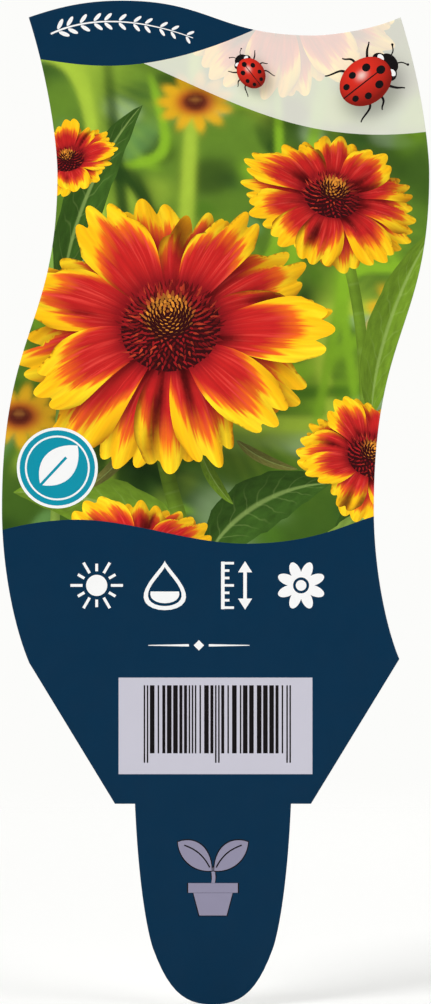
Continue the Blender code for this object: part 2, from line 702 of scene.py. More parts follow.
@dataclass
class Stem:
    """A round green stalk along a curve, brightest on its right side, at crown."""

    knots: Knots
    half_width: float
    tint: Colour
    seed: int
    steps: int = 22
    dark: float = 0.72
    bright: float = 0.45
    crown: float = 0.35

    def cutouts(self) -> list[Cutout]:
        """Makes the stalk.

        Returns:
            Its one shape.
        """
        t = np.linspace(-1, 1, 5)
        grid = ribbon(bezier(*self.knots, self.steps), self.half_width, t)
        light = self.dark + self.bright * np.clip(1 - np.abs(t - self.crown), 0, 1)
        grain = grain_grid(np.linspace(0, 1, len(grid))[:, None], 0.5, light)
        edge = np.vstack([grid[:, 0], grid[::-1, -1]])
        return [Cutout(Ink.LEAF, edge, True, self.tint, self.seed * 2.3, grid, grain)]


@dataclass
class Beetle:
    """A ladybird seen from above, walking across the picture.

    Sizes and places on it are shares of its length.

    Attributes:
        shell: Half the wing cases' width and half their length.
        legs: Where each leg of a side starts, how far it reaches, and how far it leans forward.
        seam: Half the width of the line between the wing cases, and of a feeler.
        dots: Place and radius of the dots: one on the seam, the others on both sides.
    """

    centre: Point
    length: float
    turn: float
    seed: int
    shell: Point = (0.40, 0.5)
    legs: tuple[Triple, ...] = ((0.24, 0.28, 0.20), (0.02, 0.34, -0.08), (-0.2, 0.28, -0.26))
    leg_width: Point = (0.026, 0.012)
    seam: Point = (0.011, 0.012)
    knob: float = 0.024
    dots: tuple[Triple, ...] = (
        (0.0, 0.34, 0.075), (0.19, 0.16, 0.07), (0.23, -0.12, 0.06), (0.13, -0.33, 0.055),
    )
    red: Colour = srgb(205, 38, 22)
    shade: float = 0.52

    def at(self, across: float, up: float) -> Point:
        """Returns a point of the card from shares of the beetle's length."""
        return tuple(moved(np.array([[across, up]]) * self.length, self.centre, self.turn)[0].tolist())

    def oval(self, across: float, up: float, wide: float, tall: float, steps: int = 32) -> Array:
        """Returns the outline of an ellipse on the beetle, with half axes wide and tall."""
        return ellipse(self.at(across, up), self.length * wide, self.length * tall, self.turn, steps)

    def shell_grid(self) -> tuple[Array, Array]:
        """Shapes the domed wing cases.

        Returns:
            Their flat grid, and its grain, which has the gleam in place of along.
        """
        a, r = np.meshgrid(np.linspace(0, 2 * np.pi, 41), np.linspace(0.0, 1.0, 13))
        ring = np.stack([r * np.cos(a), r * np.sin(a)], -1)
        slope = np.dstack([ring, np.sqrt(np.maximum(1.05 - r**2, 0))])
        slope /= np.linalg.norm(slope, axis=2, keepdims=True)
        slope[..., :2] = moved(slope[..., :2].reshape(-1, 2), (0.0, 0.0), self.turn).reshape(ring.shape)
        light = DAYLIGHT.on_slope(slope) * 1.35 - 0.55
        between = DAYLIGHT.towards_sun() + np.array([0.0, 0.0, 1.0])
        gleam = np.clip(slope @ between / np.linalg.norm(between), 0, 1) ** 60
        flat = ring * self.shell * self.length
        placed = moved(flat.reshape(-1, 2), self.centre, self.turn).reshape(ring.shape)
        return placed, grain_grid(gleam, 0.0, light)

    def limbs(self, side: int) -> list[Array]:
        """Shapes the legs and the feeler of one side.

        Args:
            side: -1 for the left side, 1 for the right.

        Returns:
            The outlines of three legs, the feeler and its knob.
        """
        size = self.length
        made = []
        for up, reach, lean in self.legs:
            knee = self.at(side * (0.26 + reach * 0.8), up + 0.12 + lean * 0.1)
            ankle = self.at(side * (0.22 + reach * 0.75), up + lean * 0.8)
            foot = self.at(side * (0.24 + reach), up + lean * 1.2)
            leg = bezier(self.at(side * 0.25, up), knee, ankle, foot, 12)
            made.append(strip(leg, np.linspace(*self.leg_width, 13) * size))
        bow = self.at(side * 0.12, 0.72)
        feeler = bezier(self.at(side * 0.07, 0.6), bow, bow, self.at(side * 0.22, 0.77), 6)
        knob = ellipse(self.at(side * 0.225, 0.775), size * self.knob, size * self.knob, 0, 10)
        return [*made, strip(feeler, size * self.seam[1]), knob]

    def cutouts(self) -> list[Cutout]:
        """Makes the beetle.

        Returns:
            Its limbs, head, chest, two pale cheeks, wing cases, seam and dots.
        """
        head, chest = self.oval(0, 0.53, 0.19, 0.14), self.oval(0, 0.42, 0.29, 0.17)
        made = [Cutout(Ink.BLACK, shape) for shape in (*self.limbs(-1), *self.limbs(1), head, chest)]
        made += [Cutout(Ink.WHITE, self.oval(side * 0.17, 0.47, 0.07, 0.05, 16)) for side in (-1, 1)]
        grid, grain = self.shell_grid()
        made.append(Cutout(Ink.SHELL, grid[-1, :-1], False, self.red, self.seed, grid, grain))
        seam = np.array([self.at(0, 0.42), self.at(0, -0.5)])
        made.append(Cutout(Ink.BLACK, strip(seam, self.length * self.seam[0])))
        for across, up, radius in self.dots + tuple((-a, u, r) for a, u, r in self.dots[1:]):
            made.append(Cutout(Ink.BLACK, self.oval(across, up, radius, radius * 1.1, 18)))
        return made

    def shadows(self) -> list[Blur]:
        """Returns the soft shadow that the beetle casts on the picture."""
        middle = (self.centre[0] + 0.13 * self.length, self.centre[1] - 0.13 * self.length)
        return [Blur(middle, 0.46 * self.length, 0.60 * self.length, self.turn, BLACK, self.shade)]


@dataclass(frozen=True)
class FarFlower:
    """An unfocused flower in the picture's ground. Its sizes are shares of size."""

    centre: Point
    size: float
    petals: int = 11
    ring: Point = (0.70, 0.5)
    petal: Point = (0.36, 0.17)
    yellow: Colour = srgb(244, 184, 22)
    red: Colour = srgb(186, 52, 24)
    dark: Colour = srgb(86, 26, 20)
    brown: Colour = srgb(150, 92, 40)

    def blurs(self) -> list[Blur]:
        """Makes the flower's patches.

        Returns:
            The petals, the red round the disc, the disc and its pale top.
        """
        size, made = self.size, []
        for step in range(self.petals):
            angle = 2 * math.pi * step / self.petals + size
            way = (self.ring[0] * math.cos(angle), self.ring[1] * math.sin(angle))
            spot = spots(self.centre, size, way)[0]
            petal = (size * self.petal[0], size * self.petal[1])
            made.append(Blur(spot, *petal, heading(way), self.yellow, 0.92, 7.0))
        top = spots(self.centre, size, (0.0, 0.07))[0]
        return made + [
            Blur(self.centre, size * 0.55, size * 0.38, 0, self.red, 0.85, 7.0),
            Blur(self.centre, size * 0.34, size * 0.24, 0, self.dark, 0.95, 8.0),
            Blur(top, size * 0.15, size * 0.08, 0, self.brown),
        ]


@dataclass
class Meadow:
    """The unfocused green ground behind the flowers, from its lower left corner to its upper right."""

    low: Point = (-37.5, 43.0)
    high: Point = (38.5, 137.0)
    patches: int = 150
    stalks: int = 12
    flowers: tuple[FarFlower, ...] = (
        FarFlower((34.5, 83.0), 8.0), FarFlower((-3.0, 119.5), 6.0), FarFlower((-33.0, 66.0), 6.5),
    )
    deep: Colour = srgb(62, 96, 26)
    bright: Colour = srgb(112, 150, 44)
    stalk_greens: tuple[Colour, ...] = (
        srgb(78, 122, 26), srgb(140, 188, 38), srgb(38, 70, 22), srgb(176, 206, 62),
    )
    patch_greens: tuple[Colour, ...] = (
        srgb(54, 92, 36), srgb(112, 160, 86), srgb(172, 200, 150), srgb(32, 54, 20),
    )
    seed: int = 11

    def blurs(self) -> list[Blur]:
        """Makes the ground's patches.

        Returns:
            Patches, far stalks and far flowers, back to front.
        """
        rng = np.random.default_rng(self.seed)
        greens = self.stalk_greens + self.patch_greens
        made = []
        for _ in range(self.patches):
            size = rng.uniform(1.8, 7.0)
            colour = greens[int(rng.integers(len(greens)))]
            turn = rng.uniform(-70, 70)
            tall = size * rng.uniform(0.3, 0.8)
            made.append(Blur(self.somewhere(rng), size, tall, turn, colour, 0.66, rng.uniform(4, 9)))
        for _ in range(self.stalks):
            start, end = self.somewhere(rng), self.somewhere(rng)
            bend = (end[0] + rng.uniform(-12, 12), start[1] + rng.uniform(-6, 6))
            colour = self.stalk_greens[int(rng.integers(len(self.stalk_greens)))]
            path = bezier(start, bend, bend, end, 26)
            step = float(np.linalg.norm(path[1:] - path[:-1], axis=1).max())
            made += blurred_line(path, step * 1.6, rng.uniform(0.55, 1.0), colour, 0.5, 3.6)
        return made + [blur for flower in self.flowers for blur in flower.blurs()]

    def somewhere(self, rng: np.random.Generator) -> Point:
        """Returns a random place in the picture."""
        return (rng.uniform(self.low[0], self.high[0]), rng.uniform(self.low[1], self.high[1]))

    def colour(self, points: Array) -> Array:
        """Works out the ground's colour.

        Args:
            points: Flat points.

        Returns:
            A linear colour for each point.
        """
        rise = np.clip((points[:, 1] - self.low[1]) / (self.high[1] - self.low[1]), 0, 1)[:, None]
        colour = np.array(self.deep) * (1 - rise) + np.array(self.bright) * rise
        for blur in self.blurs():
            weight = blur.weight(points)[:, None]
            colour = colour * (1 - weight) + np.array(blur.colour) * weight
        return colour


# Panels and plain printed marks


@dataclass
class Panels:
    """The card's big colour fields. Their curves overrun the cut edge, which trims them.

    Attributes:
        header: Lower edge of the navy header, left to right.
        band: Lower edge of the pale band across the upper right.
        foot: Upper edge of the navy foot, as three waves.
        top: A level above the card, and right, a place beside it.
        drop: How far the band's shadow lies below its edge.
    """

    header: Knots = ((-33.5, 127.2), (-24.3, 126.8), (-14.1, 121.5), (10.2, 133.3))
    band: Knots = ((-12.5, 126.4), (4.5, 119.1), (16.6, 111.3), (39.0, 114.8))
    foot: tuple[Knots, Knots, Knots] = (
        ((-38.0, 46.0), (-33.0, 47.6), (-27.8, 48.4), (-23.1, 48.4)),
        ((-23.1, 48.4), (-14.0, 48.4), (-3.7, 44.3), (5.5, 44.3)),
        ((5.5, 44.3), (19.4, 44.3), (24.8, 49.1), (29.5, 49.3)),
    )
    top: float = 140.0
    right: float = 40.0
    veil: float = 0.70
    drop: float = 0.25
    shade: float = 0.16

    def picture(self) -> Cutout:
        """Makes the picture's field, from the foot's waves up to the header.

        Returns:
            Its shape.
        """
        foot = np.vstack([bezier(*wave, 18)[:-1] for wave in self.foot])
        header = bezier(*self.header, 26)[::-1]
        right = [self.foot[-1][-1], (self.right, 60.0), (self.right, self.top), (12.0, self.top)]
        left = [(self.foot[0][0][0], self.header[0][1])]
        return Cutout(Ink.MEADOW, np.vstack([foot, right, header, left]))

    def veiled(self) -> Array:
        """Returns the outline of the band that lies under a pale veil."""
        return np.vstack([bezier(*self.band, 26), [(self.right, self.top), (self.band[0][0], self.top)]])

    def veil_shadow(self) -> list[Blur]:
        """Returns the narrow soft shadow under the veiled band's lower edge."""
        return blurred_line(bezier(*self.band, 22) - (0.0, self.drop), 2.4, 1.15, BLACK, self.shade, 4.0)


@dataclass
class HeaderSprig:
    """A plain white leafy line along the header.

    Attributes:
        thickness: Half the line's width at its start and at its end.
        leaf: How far the first pair's middles stand off it.
        oval: Half a leaf's length and half its width, as shares of leaf.
    """

    path: Knots = ((-27.6, 131.1), (-21.0, 134.3), (-12.0, 133.7), (-3.4, 130.4))
    thickness: Point = (0.16, 0.07)
    pairs: int = 11
    leaf: float = 1.35
    shrink: float = 0.03
    spread: float = 42.0
    oval: Point = (0.72, 0.26)
    steps: int = 40

    def cutouts(self) -> list[Cutout]:
        """Makes the sprig.

        Returns:
            The line and its small leaves.
        """
        line = bezier(*self.path, self.steps)
        made = [Cutout(Ink.WHITE, strip(line, np.linspace(*self.thickness, len(line))))]
        for index in range(self.pairs):
            at = int((index + 0.6) / self.pairs * self.steps)
            along = heading(line[min(at + 1, self.steps)] - line[at - 1])
            size = self.leaf * (1.0 - self.shrink * index)
            long, wide = size * self.oval[0], size * self.oval[1]
            for turn in (along - self.spread, along + self.spread):
                made.append(Cutout(Ink.WHITE, ellipse(away(line[at], size, turn), long, wide, turn, 14)))
        return made


@dataclass
class CareSigns:
    """A row of four plain growing signs: sun, water, height and flowering.

    Sizes within a sign are shares of its height.

    Attributes:
        paper: What the signs stand on.
        rays: Half the length of the sun's long rays and of its short ones.
        eye: Radius of the flower's bare ring, and of the disc in it.
    """

    middle: Point = (-2.4, 37.2)
    pitch: float = 11.6
    size: float = 8.6
    ink: Ink = Ink.WHITE
    paper: Ink = Ink.NAVY
    line: float = 0.07
    sun_disc: float = 0.21
    ray_gap: float = 0.28
    rays: Point = (0.12, 0.075)
    drop_sizes: Point = (0.98, 0.78)
    water: float = 0.86
    ruler: float = 0.20
    arrow: float = 0.24
    petal: Point = (0.2, 0.105)
    petals_out: float = 0.29
    eye: Point = (0.16, 0.105)

    def disc(self, centre: Point, radius: float, ink: Ink) -> Cutout:
        """Returns a round dot."""
        return Cutout(ink, ellipse(centre, self.size * radius, self.size * radius))

    def bar(self, centre: Point, across: float, up: float, wide: float, tall: float) -> Cutout:
        """Returns an upright or level bar in a sign. Its place and sizes are shares."""
        middle = spots(centre, self.size, (across, up))[0]
        return Cutout(self.ink, box(middle, self.size * wide, self.size * tall))

    def sun(self, centre: Point) -> list[Cutout]:
        """Makes a sun: full sun.

        Args:
            centre: Middle of the sign.

        Returns:
            A disc and twelve rays, long and short by turns.
        """
        made = [self.disc(centre, self.sun_disc, self.ink)]
        for step in range(12):
            half = self.rays[step % 2]
            spot = away(centre, self.size * (self.ray_gap + half), 30.0 * step)
            made.append(Cutout(self.ink, box(spot, self.size * half * 2, self.size * 0.055, 30.0 * step)))
        return made

    def drop_outline(self, centre: Point, size: float, steps: int = 30) -> Array:
        """Draws a falling water drop.

        Args:
            centre: Middle of its height.
            size: Its height.
            steps: How many points stand for its edge.

        Returns:
            Its outline.
        """
        angles = np.linspace(0, 2 * math.pi, steps, endpoint=False)
        across = np.sin(angles) * np.sin(angles / 2) ** 1.6 * 0.62
        return np.column_stack([across, np.cos(angles) * 0.5]) * size + np.array(centre)

    def drop(self, centre: Point) -> list[Cutout]:
        """Makes a half-filled drop: moderate water.

        Args:
            centre: Middle of the sign.

        Returns:
            The drop, the hollow in it, and the water in the hollow.
        """
        outer = self.drop_outline(centre, self.size * self.drop_sizes[0])
        lower = (centre[0], centre[1] - self.size * 0.02)
        inner = self.drop_outline(lower, self.size * self.drop_sizes[1])
        filled = inner[inner[:, 1] < centre[1] - self.size * 0.08]
        water = (filled - np.array(centre)) * self.water + np.array(centre)
        return [Cutout(self.ink, outer), Cutout(self.paper, inner), Cutout(self.ink, water)]

    def height(self, centre: Point) -> list[Cutout]:
        """Makes a ruler with an arrow: how tall the plant grows.

        Args:
            centre: Middle of the sign.

        Returns:
            The ruler, its seven marks, and the arrow's shaft and two heads.
        """
        made = [self.bar(centre, -self.ruler, 0.0, self.line, 0.94)]
        for step in range(7):
            wide = 0.22 if step % 3 == 0 else 0.13
            made.append(self.bar(centre, wide / 2 - self.ruler, step * 0.1467 - 0.44, wide, 0.05))
        made.append(self.bar(centre, self.arrow, 0.0, self.line, 0.62))
        for way in (-1, 1):
            foot = [(self.arrow - 0.14, way * 0.26), (self.arrow + 0.14, way * 0.26)]
            head = [*foot, (self.arrow, way * 0.48)]
            made.append(Cutout(self.ink, np.array(spots(centre, self.size, *head))))
        return made

    def flower(self, centre: Point) -> list[Cutout]:
        """Makes a simple flower: when the plant is in bloom.

        Args:
            centre: Middle of the sign.

        Returns:
            Eight petals, a bare ring and a disc.
        """
        long, wide = self.size * self.petal[0], self.size * self.petal[1]
        made = []
        for turn in np.arange(22.5, 360.0, 45.0):
            spot = away(centre, self.size * self.petals_out, turn)
            made.append(Cutout(self.ink, ellipse(spot, long, wide, turn, 20)))
        ring, eye = self.eye
        return made + [self.disc(centre, ring, self.paper), self.disc(centre, eye, self.ink)]

    def cutouts(self) -> list[Cutout]:
        """Makes the four signs.

        Returns:
            Their shapes, left to right.
        """
        made = []
        for step, sign in enumerate((self.sun, self.drop, self.height, self.flower)):
            made += sign((self.middle[0] + (step - 1.5) * self.pitch, self.middle[1]))
        return made


@dataclass
class Rule:
    """A thin tapered rule with a small diamond in its middle."""

    middle: Point = (-2.4, 27.0)
    half_width: float = 8.6
    gap: float = 1.7
    thickness: Point = (0.2, 0.06)
    diamond: float = 1.25

    def cutouts(self) -> list[Cutout]:
        """Makes the rule.

        Returns:
            Its two halves and the diamond.
        """
        made = []
        for side in (-1, 1):
            ends = np.array(spots(self.middle, side, (self.gap, 0.0), (self.half_width, 0.0)))
            made.append(Cutout(Ink.WHITE, strip(ends, np.array(self.thickness))))
        return made + [Cutout(Ink.WHITE, box(self.middle, self.diamond, self.diamond, 45))]


@dataclass
class CodePanel:
    """A lilac panel of black bars of random widths.

    Attributes:
        guard_foot: Lower end of the pairs of thin bars at both ends and in the middle.
        wide: Widths that a bar is drawn from at random, in modules.
        gaps: Widths that the gap after it is drawn from.
    """

    centre: Point = (0.43, 13.28)
    width: float = 33.0
    height: float = 16.44
    bars_left: float = -11.8
    module: float = 0.264
    modules: int = 95
    bar_top: float = 20.2
    bar_foot: float = 8.6
    guard_foot: float = 7.0
    wide: tuple[int, ...] = (1, 2, 2, 3, 3)
    gaps: tuple[int, ...] = (1, 1, 1, 2, 2)
    seed: int = 5

    def cutouts(self) -> list[Cutout]:
        """Makes the panel.

        Returns:
            The panel and its bars, left to right.
        """
        made = [Cutout(Ink.LILAC, box(self.centre, self.width, self.height))]
        rng = np.random.default_rng(self.seed)
        middle, last = self.modules // 2, self.modules - 1
        guards = (0, 2, middle - 1, middle + 1, last - 2, last)
        at = 0
        while at < self.modules:
            if at in guards:
                made.append(self.bar(at, 1, self.guard_foot))
                at += 2
                continue
            wide, gap = int(rng.choice(self.wide)), int(rng.choice(self.gaps))
            stop = min([guard for guard in guards if guard > at] + [self.modules])
            if at + wide + 1 > stop:
                at = stop
                continue
            made.append(self.bar(at, wide, self.bar_foot))
            at = min(at + wide + gap, stop)
        return made

    def bar(self, at: int, wide: int, foot: float) -> Cutout:
        """Returns one black bar that starts at a module and ends at the level foot."""
        middle = (self.bars_left + (at + wide / 2) * self.module, (self.bar_top + foot) / 2)
        return Cutout(Ink.BLACK, box(middle, wide * self.module, self.bar_top - foot))


@dataclass
class Roundel:
    """A plain teal round badge with two white rings and a leaf.

    The discs and the leaf's curves are shares of the radius.
    """

    centre: Point = (-26.5, 57.2)
    radius: float = 6.9
    discs: tuple[float, ...] = (1.0, 0.93, 0.80, 0.755)
    leaf_left: Knots = ((-0.42, -0.42), (-0.6, 0.35), (0.0, 0.62), (0.5, 0.55))
    leaf_right: Knots = ((0.5, 0.55), (0.62, 0.0), (0.3, -0.55), (-0.42, -0.42))
    vein: tuple[Point, Point] = ((-0.52, -0.535), (0.22, 0.26))
    vein_half: float = 0.035

    def cutouts(self) -> list[Cutout]:
        """Makes the badge.

        Returns:
            Its discs, the white leaf and the leaf's vein.
        """
        made = []
        for number, share in enumerate(self.discs):
            radius = self.radius * share
            disc = ellipse(self.centre, radius, radius, 0, 56 if number < 2 else 48)
            made.append(Cutout((Ink.WHITE, Ink.TEAL)[number % 2], disc))
        left, right = (bezier(*spots(self.centre, self.radius, *side), 14)
                       for side in (self.leaf_left, self.leaf_right))
        vein = strip(np.array(spots(self.centre, self.radius, *self.vein)), self.radius * self.vein_half)
        return [*made, Cutout(Ink.WHITE, np.vstack([left, right[1:-1]])), Cutout(Ink.TEAL, vein)]


@dataclass
class TongueSign:
    """A potted seedling in grey lilac on the tongue, drawn with black lines.

    All but centre and size are shares of the size. The curves are those of the right-hand leaf.
    """

    centre: Point = (0.0, -12.2)
    size: float = 13.6
    line: float = 0.016
    leaf_over: Knots = ((0.015, 0.06), (0.02, 0.36), (0.22, 0.5), (0.44, 0.42))
    leaf_under: Knots = ((0.44, 0.42), (0.42, 0.18), (0.22, 0.04), (0.015, 0.06))
    vein: Knots = ((0.04, 0.1), (0.12, 0.26), (0.22, 0.33), (0.36, 0.38))
    vein_half: float = 0.009
    stalk: Knots = ((0.0, -0.1), (0.02, 0.0), (0.0, 0.0), (0.0, 0.1))
    stalk_half: float = 0.022
    pot: Knots = ((-0.25, -0.20), (0.25, -0.20), (0.17, -0.5), (-0.17, -0.5))
    rim: Knots = ((-0.31, -0.215), (0.31, -0.215), (0.31, -0.095), (-0.31, -0.095))

    def curve(self, knots: Knots, side: int, steps: int) -> Array:
        """Returns a curve of the sign, mirrored where side is -1."""
        return bezier(*spots(self.centre, self.size, *((side * x, z) for x, z in knots)), steps)

    def leaf(self, side: int) -> Array:
        """Returns one seed leaf's outline."""
        over, under = self.curve(self.leaf_over, side, 14), self.curve(self.leaf_under, side, 14)
        return np.vstack([over, under[1:-1]])

    def cutouts(self) -> list[Cutout]:
        """Makes the sign.

        Returns:
            Stalk, two leaves, pot and rim, each over its own dark line, and the leaves' veins.
        """
        line = self.size * self.line
        stalk = strip(self.curve(self.stalk, 1, 8), self.size * self.stalk_half)
        pot, rim = (np.array(spots(self.centre, self.size, *shape)) for shape in (self.pot, self.rim))
        made = []
        for shape in (stalk, self.leaf(-1), self.leaf(1), pot, rim):
            middle = shape.mean(axis=0)
            far = np.linalg.norm(shape - middle, axis=1, keepdims=True)
            made.append(Cutout(Ink.BLACK, middle + (shape - middle) * (1 + line / np.maximum(far, line))))
            made.append(Cutout(Ink.GREY_LILAC, shape))
        for side in (-1, 1):
            vein = strip(self.curve(self.vein, side, 10), self.size * self.vein_half)
            made.append(Cutout(Ink.BLACK, vein))
        return made


@dataclass
class BackPrint:
    """The back's one-colour print: growing signs, a year of flowering months and lines to write on.

    It is laid out as seen from behind. The months' pitch is in widths of their boxes, and those in
    flower are counted from 0.
    """

    signs: CareSigns = field(
        default_factory=lambda: CareSigns((-4.0, 101.0), 12.6, 9.4, Ink.NAVY, Ink.CARD)
    )
    months: Point = (-0.6, 82.0)
    month: Point = (3.5, 4.6)
    month_pitch: float = 1.08
    flowering: tuple[int, ...] = (5, 6, 7, 8)
    line: float = 0.22
    lines: tuple[float, ...] = (68.0, 60.5, 53.0, 45.5)
    lines_middle: float = 1.0
    line_width: float = 46.0

    def cutouts(self) -> list[Cutout]:
        """Makes the print, and turns it round to the card's own directions.

        Returns:
            Its shapes.
        """
        made = self.signs.cutouts()
        wide, tall = self.month
        for number in range(12):
            spot = (self.months[0] + (number - 5.5) * wide * self.month_pitch, self.months[1])
            made.append(Cutout(Ink.NAVY, box(spot, wide, tall)))
            if number not in self.flowering:
                made.append(Cutout(Ink.CARD, box(spot, wide - 2 * self.line, tall - 2 * self.line)))
        for level in self.lines:
            made.append(Cutout(Ink.NAVY, box((self.lines_middle, level), self.line_width, self.line)))
        for cutout in made:
            cutout.outline = cutout.outline * np.array([-1.0, 1.0])
        return made


# Ink and plastic finishes


class Nodes:
    """Adds nodes to a tree and links them."""

    def __init__(self, tree: bpy.types.NodeTree) -> None:
        """Takes the tree."""
        self.tree = tree

    def feed(self, target: Socket, value: object) -> None:
        """Links a socket or sets a value.

        Args:
            target: The socket to feed.
            value: A socket, a colour or a number.
        """
        if isinstance(value, Socket):
            self.tree.links.new(value, target)
        elif isinstance(value, tuple) and len(value) == 3 and target.type == "RGBA":
            target.default_value = (*value, 1.0)
        else:
            target.default_value = value

    def node(self, kind: str, feeds: dict[int | str, object], **settings: object) -> bpy.types.Node:
        """Adds a node.

        Args:
            kind: Its type, without the leading ShaderNode.
            feeds: What goes into its sockets.
            **settings: Its properties.

        Returns:
            The node.
        """
        made = self.tree.nodes.new("ShaderNode" + kind)
        for name, setting in settings.items():
            setattr(made, name, setting)
        for socket, value in feeds.items():
            self.feed(made.inputs[socket], value)
        return made

    def maths(self, operation: str, *values: object) -> Socket:
        """Returns the result of a Math node."""
        return self.node("Math", dict(enumerate(values)), operation=operation).outputs[0]

    def times(self, value: object, share: object) -> Socket:
        """Returns the product of two values."""
        return self.maths("MULTIPLY", value, share)

    def times_plus(self, value: object, share: object, more: object) -> Socket:
        """Returns value times share, plus more."""
        return self.maths("MULTIPLY_ADD", value, share, more)

    def step(self, value: object, low: float, high: float) -> Socket:
        """Returns a smooth rise from 0 at low to 1 at high."""
        feeds = {"Value": value, "From Min": low, "From Max": high}
        return self.node("MapRange", feeds, interpolation_type="SMOOTHSTEP").outputs[0]

    def mix(self, share: object, first: object, second: object, blend: str = "MIX") -> Socket:
        """Returns a mix of two colours."""
        feeds = {0: share, 6: first, 7: second}
        return self.node("Mix", feeds, data_type="RGBA", blend_type=blend).outputs[2]

    def scaled(self, colour: object, share: object) -> Socket:
        """Returns a colour times a value."""
        return self.node("VectorMath", {0: colour, "Scale": share}, operation="SCALE").outputs[0]

    def joined(self, *values: object) -> Socket:
        """Returns three values as a vector."""
        return self.node("CombineXYZ", dict(enumerate(values))).outputs[0]

    def noise(self, where: object, scale: float, detail: float = 2.0) -> Socket:
        """Returns a noise value from 0 to 1."""
        return self.node("TexNoise", {"Vector": where, "Scale": scale, "Detail": detail}).outputs["Fac"]

    def stray(self, noise: Socket, amount: float, middle: float = 1.0) -> Socket:
        """Returns a value that strays from middle by up to amount each way, as noise goes from 0 to 1."""
        return self.times_plus(noise, amount * 2, middle - amount)

    def centred(self, noise: Socket, amount: float, middle: object) -> Socket:
        """Returns middle, and amount times as far from it as noise is from a half."""
        return self.times_plus(self.maths("SUBTRACT", noise, 0.5), amount, middle)


class Surface(Nodes):
    """Builds the node tree of one finish."""

    def __init__(self, name: str) -> None:
        """Makes an empty material with a Principled shader.

        Args:
            name: The material's name.
        """
        self.material = bpy.data.materials.new(name)
        self.material.use_nodes = True
        super().__init__(self.material.node_tree)
        self.shader = self.tree.nodes["Principled BSDF"]

    def read(self, name: str, output: str) -> Socket:
        """Returns what the sheet's corners hold under a name."""
        return self.node("Attribute", {}, attribute_name=name).outputs[output]

    def parts(self, name: str) -> tuple[Socket, ...]:
        """Returns the three values of a vector that the sheet's corners hold."""
        return tuple(self.node("SeparateXYZ", {0: self.read(name, "Vector")}).outputs)

    def tint(self) -> Socket:
        """Returns the shape's own tint."""
        return self.read("tint", "Color")

    def light(self) -> Socket:
        """Returns the light drawn into the print."""
        return self.read("light", "Fac")

    def place(self) -> Socket:
        """Returns the point in metres."""
        return self.node("TexCoord", {}).outputs["Object"]

    def printed(self, colour: object) -> None:
        """Sets the ink's colour, under the pale veil where there is one, and under its shadows.

        Args:
            colour: The colour without them.
        """
        veil, shadow, _ = self.parts("film")
        veiled = self.mix(veil, colour, srgb(255, 252, 242))
        self.feed(self.shader.inputs["Base Color"], self.scaled(veiled, shadow))


@dataclass(frozen=True)
class Varnish:
    """Clear satin varnish over the ink: its gloss and faint roller texture.

    Attributes:
        spread: How far the roughness strays each way.
        orange_peel: How fine the texture is, in bumps a metre.
        relief: How deep it is, in millimetres.
    """

    roughness: float = 0.25
    spread: float = 0.04
    orange_peel: float = 900.0
    relief: float = 0.010
    strength: float = 0.35

    def cover(self, surface: Surface) -> None:
        """Sets the shader's gloss.

        Args:
            surface: The finish that it covers.
        """
        where = surface.place()
        haze = surface.noise(where, self.orange_peel / 4, 3.0)
        rough = surface.stray(haze, self.spread, self.roughness)
        surface.feed(surface.shader.inputs["Roughness"], rough)
        bump = surface.node("Bump", {"Strength": self.strength, "Distance": self.relief * MM})
        surface.feed(bump.inputs["Height"], surface.noise(where, self.orange_peel))
        surface.feed(surface.shader.inputs["Normal"], bump.outputs[0])


@dataclass(frozen=True)
class Finish:
    """What a region of the sheet is covered with, under clear varnish."""

    def colour(self, surface: Surface) -> None:
        """Sets the shader's colour. Each finish has its own way."""
        raise NotImplementedError

    def varnish(self) -> Varnish:
        """Returns what covers it."""
        return Varnish()

    def material(self, name: str) -> bpy.types.Material:
        """Makes the finish's material.

        Args:
            name: The material's name.

        Returns:
            The material.
        """
        surface = Surface(name)
        self.colour(surface)
        self.varnish().cover(surface)
        return surface.material


@dataclass(frozen=True)
class PlainInk(Finish):
    """One flat ink, with the slight unevenness of offset print."""

    ink: Colour
    unevenness: float = 0.05
    scale: float = 260.0

    def colour(self, surface: Surface) -> None:
        """Sets the ink's colour."""
        lay = surface.stray(surface.noise(surface.place(), self.scale, 4.0), self.unevenness)
        surface.feed(surface.shader.inputs["Base Color"], surface.scaled(self.ink, lay))


@dataclass(frozen=True)
class SoftInk(Finish):
    """The unfocused parts of the picture, coloured point by point."""

    mottle: float = 0.10
    scale: float = 420.0

    def colour(self, surface: Surface) -> None:
        """Sets the picture's colour."""
        lay = surface.stray(surface.noise(surface.place(), self.scale, 4.0), self.mottle)
        surface.printed(surface.scaled(surface.scaled(surface.tint(), surface.light()), lay))


